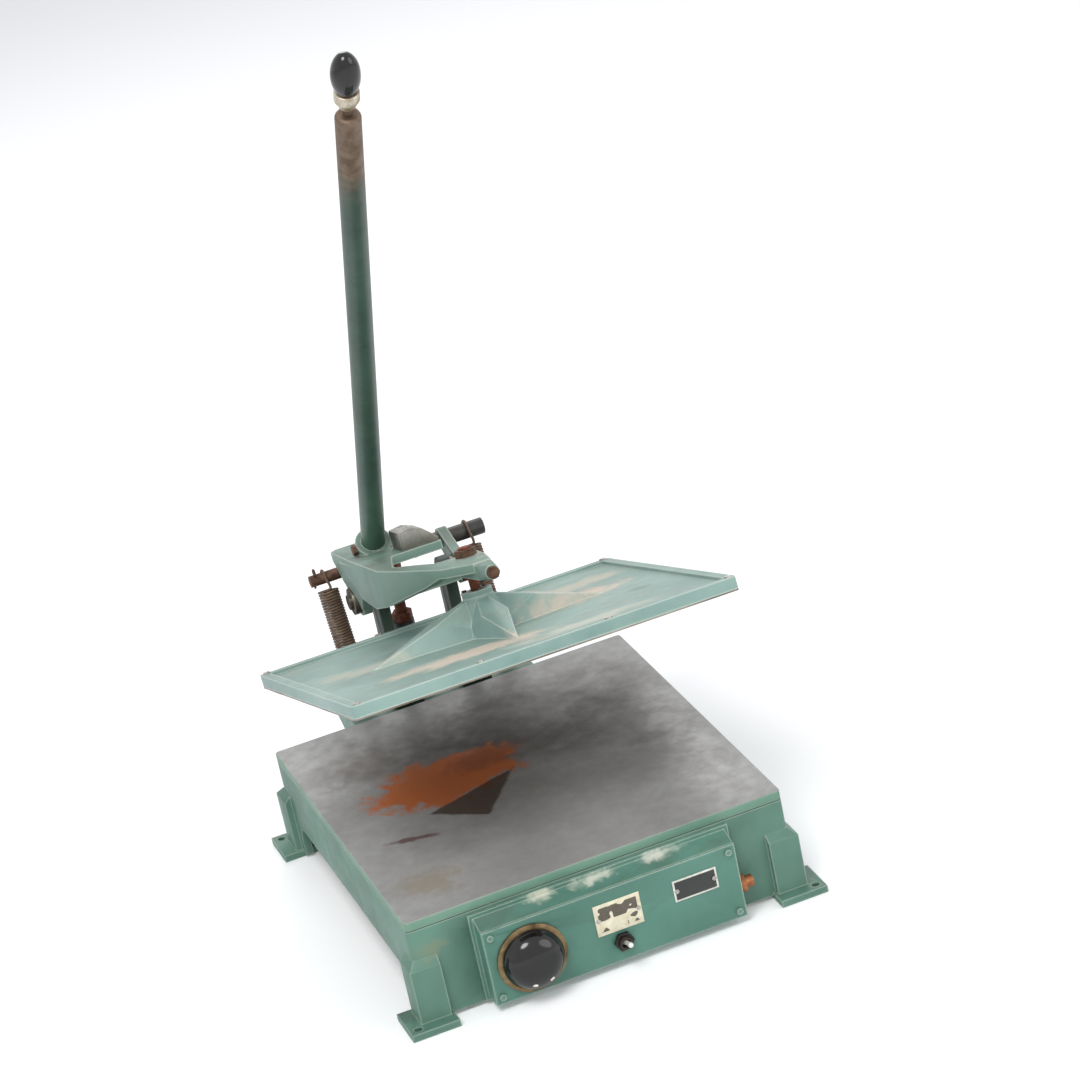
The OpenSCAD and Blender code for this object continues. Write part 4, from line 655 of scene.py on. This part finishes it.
nodeFinish = {
    "base_casting": "basePaint", "bed_plate": "bedMetal", "heating_element": "sheath",
    "heater_clamp_plate": "bareSteel", "insulation_board": "board", "heater_studs": "bareSteel",
    "control_box": "boxPaint", "control_panel": "boxPaint", "panel_screws": "boxPaint",
    "box_screws": "bareSteel", "thermostat_body": "bakelite", "thermostat_bulb": "copper",
    "inner_leads": "sleeving", "dial_escutcheon": "dialBrass", "dial_spindle": "bareSteel",
    "dial_knob": "glossKnob", "knob_screw": "bareSteel", "toggle_body": "bakelite",
    "toggle_nut": "blackMetal", "toggle_bat": "chromeBat", "switch_plate": "switchPlateFace",
    "rating_plate": "ratingPlateFace", "plate_rivets": "rivetMetal", "cable_gland": "glandBrass",
    "gland_nut": "glandBrass", "terminal_block": "ceramic", "rear_post_left": "postPaint",
    "rear_post_right": "postPaint", "post_bolts": "rustySteel", "pivot_shaft": "shaftSteel",
    "shaft_bushes": "bushBronze", "thrust_washers": "shaftSteel", "shaft_collars": "shaftSteel",
    "press_arm": "armPaint", "lever_pole": "polePaint", "lever_neck": "neckSteel",
    "lever_ferrule": "ferruleMetal", "lever_knob": "glossKnob", "lever_set_screw": "rustySteel",
    "cross_bar": "rustySteel", "bar_sleeve": "sleeveRubber", "cotter_pins": "rustySteel",
    "lift_spring_left": "springSteel", "lift_spring_right": "springSteel", "spring_eyes": "rustySteel",
    "eye_nuts": "rustySteel", "stop_pedestal": "pedestalIron", "stop_bolt": "redRust",
    "stop_nut": "redRust", "adjusting_block": "blockSteel", "block_screws": "rustySteel",
    "nose_bolt": "rustySteel", "ball_stud": "redRust", "stud_nut": "rustySteel",
    "platen": "platenPaint", "boss_cap": "platenPaint", "cap_screws": "rustySteel",
    "face_sheet": "faceSheet", "rim_screws": "rivetMetal",
}


def dress(piece, finish):
    piece.data.materials.clear()
    piece.data.materials.append(materials[finish])


for nodeName, finish in nodeFinish.items():
    dress(frame["nodes"][nodeName], finish)


# castings and machined pieces get softly rounded edges
rounded = {
    "base_casting": 0.0011, "bed_plate": 0.0008, "control_box": 0.0011, "control_panel": 0.0008,
    "press_arm": 0.0016, "platen": 0.0012, "boss_cap": 0.0008, "rear_post_left": 0.001,
    "rear_post_right": 0.001, "adjusting_block": 0.0006, "stop_pedestal": 0.001, "stop_nut": 0.0005,
    "stop_bolt": 0.0005, "stud_nut": 0.0005, "nose_bolt": 0.0004, "post_bolts": 0.0004,
    "toggle_nut": 0.0005, "switch_plate": 0.0002, "rating_plate": 0.0002, "cable_gland": 0.0004,
    "lever_ferrule": 0.0003, "shaft_collars": 0.0004, "bar_sleeve": 0.0004, "cross_bar": 0.0005,
    "dial_escutcheon": 0.0005,
}


def softenNode(name, width):
    source = frame["nodes"][name]
    piece = source.copy()
    piece.data = source.data.copy()
    piece.name = name + "Soft"
    piece.parent = None
    piece.matrix_world = Matrix.Identity(4)
    bpy.context.scene.collection.objects.link(piece)
    pick(piece)
    bpy.ops.object.mode_set(mode="EDIT")
    bpy.ops.mesh.select_all(action="SELECT")
    bpy.ops.mesh.remove_doubles(threshold=0.00001)
    bpy.ops.mesh.dissolve_limited(angle_limit=math.radians(1.0))
    bpy.ops.object.mode_set(mode="OBJECT")
    bevel = piece.modifiers.new("round", "BEVEL")
    bevel.width = width
    bevel.segments = 2
    bevel.limit_method = "ANGLE"
    bevel.angle_limit = math.radians(32)
    bevel.harden_normals = False
    bpy.ops.object.modifier_apply(modifier="round")
    bpy.ops.object.shade_smooth_by_angle(angle=math.radians(38))
    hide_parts(name)
    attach(piece, nodeBody[name])
    return piece


print("rounded pieces")
for nodeName, width in rounded.items():
    softenNode(nodeName, width)


# lift springs, stretched between the base and the arm
spring = {"x": 0.078, "foot": (0.256, 0.1195), "head": (0.300, 0.231), "radius": 0.0096, "wire": 0.0014,
          "pitch": 0.00288, "hookGap": 0.005, "ringsPerTurn": 18, "footHook": 0.0058,
          "leftHook": 0.0077, "rightHook": 0.0102, "hookTurn": 210, "hookStep": 15, "bow": 0.0042}


def bridge(a, b, c, d):
    # points on a smooth curve from a to d, drawn towards b and c
    return [a * (1 - t) ** 3 + 3 * b * t * (1 - t) ** 2 + 3 * c * t * t * (1 - t) + d * t ** 3
            for t in (0.15, 0.3, 0.45, 0.6, 0.75, 0.9)]


def springPath(headRadius):
    # along Z from the lower hook's middle to the upper hook's middle
    footY, footZ = spring["foot"]
    headY, headZ = spring["head"]
    length = math.hypot(headY - footY, headZ - footZ)
    footRadius = spring["footHook"]
    start = footRadius + spring["hookGap"]
    end = length - headRadius - spring["hookGap"]
    turns = round((end - start) / spring["pitch"] - 0.5) + 0.5
    steps = int(turns * spring["ringsPerTurn"])
    path = []
    hookSteps = range(0, spring["hookTurn"] + 1, spring["hookStep"])
    for step in hookSteps:
        angle = math.radians(step - spring["hookTurn"])
        path.append(Vector((0, footRadius * math.cos(angle), footRadius * math.sin(angle))))
    coil = []
    for step in range(steps + 1):
        angle = math.radians(90) + 2 * math.pi * turns * step / steps
        coil.append(Vector((spring["radius"] * math.cos(angle), spring["radius"] * math.sin(angle),
                            start + (end - start) * step / steps)))
    bow = Vector((spring["bow"], 0, 0))
    rise, ease = Vector((0, 0, 0.004)), Vector((0, 0, 0.001))
    path += bridge(path[-1], path[-1] + rise, coil[0] + bow - ease, coil[0])
    path += coil
    top = []
    for step in hookSteps:
        angle = math.radians(180 - step)
        top.append(Vector((0, headRadius * math.cos(angle), length + headRadius * math.sin(angle))))
    path += bridge(coil[-1], coil[-1] + bow + ease, top[0] - rise, top[0])
    return path + top


def makeSpring(name, side, headRadius):
    path = springPath(headRadius)
    data = bpy.data.curves.new(name, "CURVE")
    data.dimensions = "3D"
    data.bevel_depth = spring["wire"]
    data.bevel_resolution = 2
    data.use_fill_caps = True
    line = data.splines.new("POLY")
    line.points.add(len(path) - 1)
    for point, place in zip(line.points, path):
        point.co = (*place, 1)
    piece = bpy.data.objects.new(name, data)
    bpy.context.scene.collection.objects.link(piece)
    footY, footZ = spring["foot"]
    headY, headZ = spring["head"]
    lean = math.atan2(headY - footY, headZ - footZ)
    piece.location = (side * spring["x"], footY, footZ)
    piece.rotation_euler = (-lean, 0, 0)
    pick(piece)
    bpy.ops.object.convert(target="MESH")
    bpy.ops.object.transform_apply(location=True, rotation=True, scale=True)
    bpy.ops.object.shade_smooth()
    dress(piece, "springSteel")
    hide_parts("lift_spring_left" if side < 0 else "lift_spring_right")
    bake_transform(piece)
    return piece


print("springs")
makeSpring("liftSpringLeft", -1, spring["leftHook"])
makeSpring("liftSpringRight", 1, spring["rightHook"])


# lever knob: an egg turned from a profile
egg = {"start": 0.638, "length": 0.044, "radius": 0.0135, "steps": 28, "around": 48,
       "neck": 0.0072, "tip": 0.0003, "from": -50, "turn": 140}


def turnProfile(name, profile, around, place, way):
    # profile is (radius, height) pairs; a disc is extruded ring by ring along Z, then aimed along way
    clearSelection()
    radius, height = profile[0]
    bpy.ops.mesh.primitive_circle_add(vertices=around, radius=radius, fill_type="NGON",
                                      location=(0, 0, height))
    piece = bpy.context.object
    piece.name = name
    bpy.ops.object.transform_apply(location=True, rotation=True, scale=True)
    bpy.ops.object.mode_set(mode="EDIT")
    bpy.ops.mesh.select_all(action="SELECT")
    for nextRadius, nextHeight in profile[1:]:
        bpy.ops.mesh.extrude_region_move(TRANSFORM_OT_translate={"value": (0, 0, nextHeight - height)})
        scale = nextRadius / radius
        bpy.ops.transform.resize(value=(scale, scale, 1), center_override=(0, 0, nextHeight))
        radius, height = nextRadius, nextHeight
    bpy.ops.mesh.select_all(action="SELECT")
    bpy.ops.mesh.normals_make_consistent(inside=False)
    bpy.ops.object.mode_set(mode="OBJECT")
    piece.rotation_euler = Vector(way).to_track_quat("Z", "Y").to_euler()
    piece.location = place
    bpy.ops.object.transform_apply(location=True, rotation=True, scale=True)
    bpy.ops.object.shade_smooth_by_angle(angle=math.radians(40))
    return piece


def makeLeverKnob():
    profile = [(egg["neck"], 0.0)]
    low = math.sin(math.radians(egg["from"]))
    for step in range(egg["steps"] + 1):
        angle = math.radians(egg["from"] + egg["turn"] * step / egg["steps"])
        height = egg["length"] * (math.sin(angle) - low) / (1 - low)
        profile.append((max(egg["radius"] * math.cos(angle), egg["tip"]), max(height, 0.0004)))
    piece = turnProfile("leverKnob", profile, egg["around"], alongPole(egg["start"]), poleWay)
    dress(piece, "glossKnob")
    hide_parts("lever_knob")
    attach(piece, "arm")


print("lever knob")
makeLeverKnob()


# dial knob: a glossy dome on a skirt, with two filled marks
dial = {"centre": (-0.084, -0.232, 0.045), "radius": 0.0296, "height": 0.024, "ring": 0.0034,
        "markRadius": 0.0026, "markReach": 0.0205, "markAngles": (-62, -112), "around": 64,
        "domeInset": 0.0016, "domeLow": 0.0045, "domeSteps": 12, "fullness": 0.85, "tip": 0.0003,
        "markDeep": 0.001, "markAround": 20}


def makeDialKnob():
    r, low = dial["radius"], dial["ring"]
    domeRadius, domeLow = r - dial["domeInset"], low + dial["domeLow"]
    domeHeight = dial["height"] - domeLow
    profile = [(r - 0.001, low), (r, low + 0.001), (r, low + 0.003), (r - 0.0008, low + 0.0042)]
    for step in range(1, dial["domeSteps"] + 1):
        angle = math.radians(90 * step / dial["domeSteps"])
        last = step == dial["domeSteps"]
        profile.append((dial["tip"] if last else domeRadius * math.cos(angle) ** dial["fullness"],
                        domeLow + domeHeight * math.sin(angle)))
    piece = turnProfile("dialKnob", profile, dial["around"], dial["centre"], (0, -1, 0))
    dress(piece, "glossKnob")
    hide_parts("dial_knob")
    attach(piece, "dial")
    reach = dial["markReach"]
    onDome = math.acos(min(1, (reach / domeRadius) ** (1 / dial["fullness"])))
    depth = domeLow + domeHeight * math.sin(onDome) + 0.0001
    wide = dial["markRadius"]
    for index, angle in enumerate(dial["markAngles"]):
        across, up = math.cos(math.radians(angle)), math.sin(math.radians(angle))
        place = Vector(dial["centre"]) + Vector((reach * across, -depth, reach * up))
        slope = Vector((across * 0.8, -0.6, up * 0.8)).normalized()
        profile = [(wide, -dial["markDeep"]), (wide, 0.0001), (wide * 0.6, 0.0004)]
        mark = turnProfile("dialMark%d" % index, profile, dial["markAround"], place, slope)
        dress(mark, "dialMarks")
        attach(mark, "dial")


print("dial")
makeDialKnob()


# floor
floor = {"size": 9.0, "colour": (246, 246, 246), "glow": 0.12}


def makeFloor():
    clearSelection()
    bpy.ops.mesh.primitive_plane_add(size=floor["size"], location=(0, 0, -0.0004))
    piece = bpy.context.object
    piece.name = "floor"
    material, tree, shader = newMaterial("floorWhite")
    shader.inputs["Base Color"].default_value = tone(*floor["colour"])
    shader.inputs["Roughness"].default_value = 0.9
    shader.inputs["Specular IOR Level"].default_value = 0.1
    shader.inputs["Emission Color"].default_value = (1, 1, 1, 1)
    shader.inputs["Emission Strength"].default_value = floor["glow"]
    piece.data.materials.append(material)
    bpy.ops.object.transform_apply(location=True, rotation=True, scale=True)


print("floor")
makeFloor()
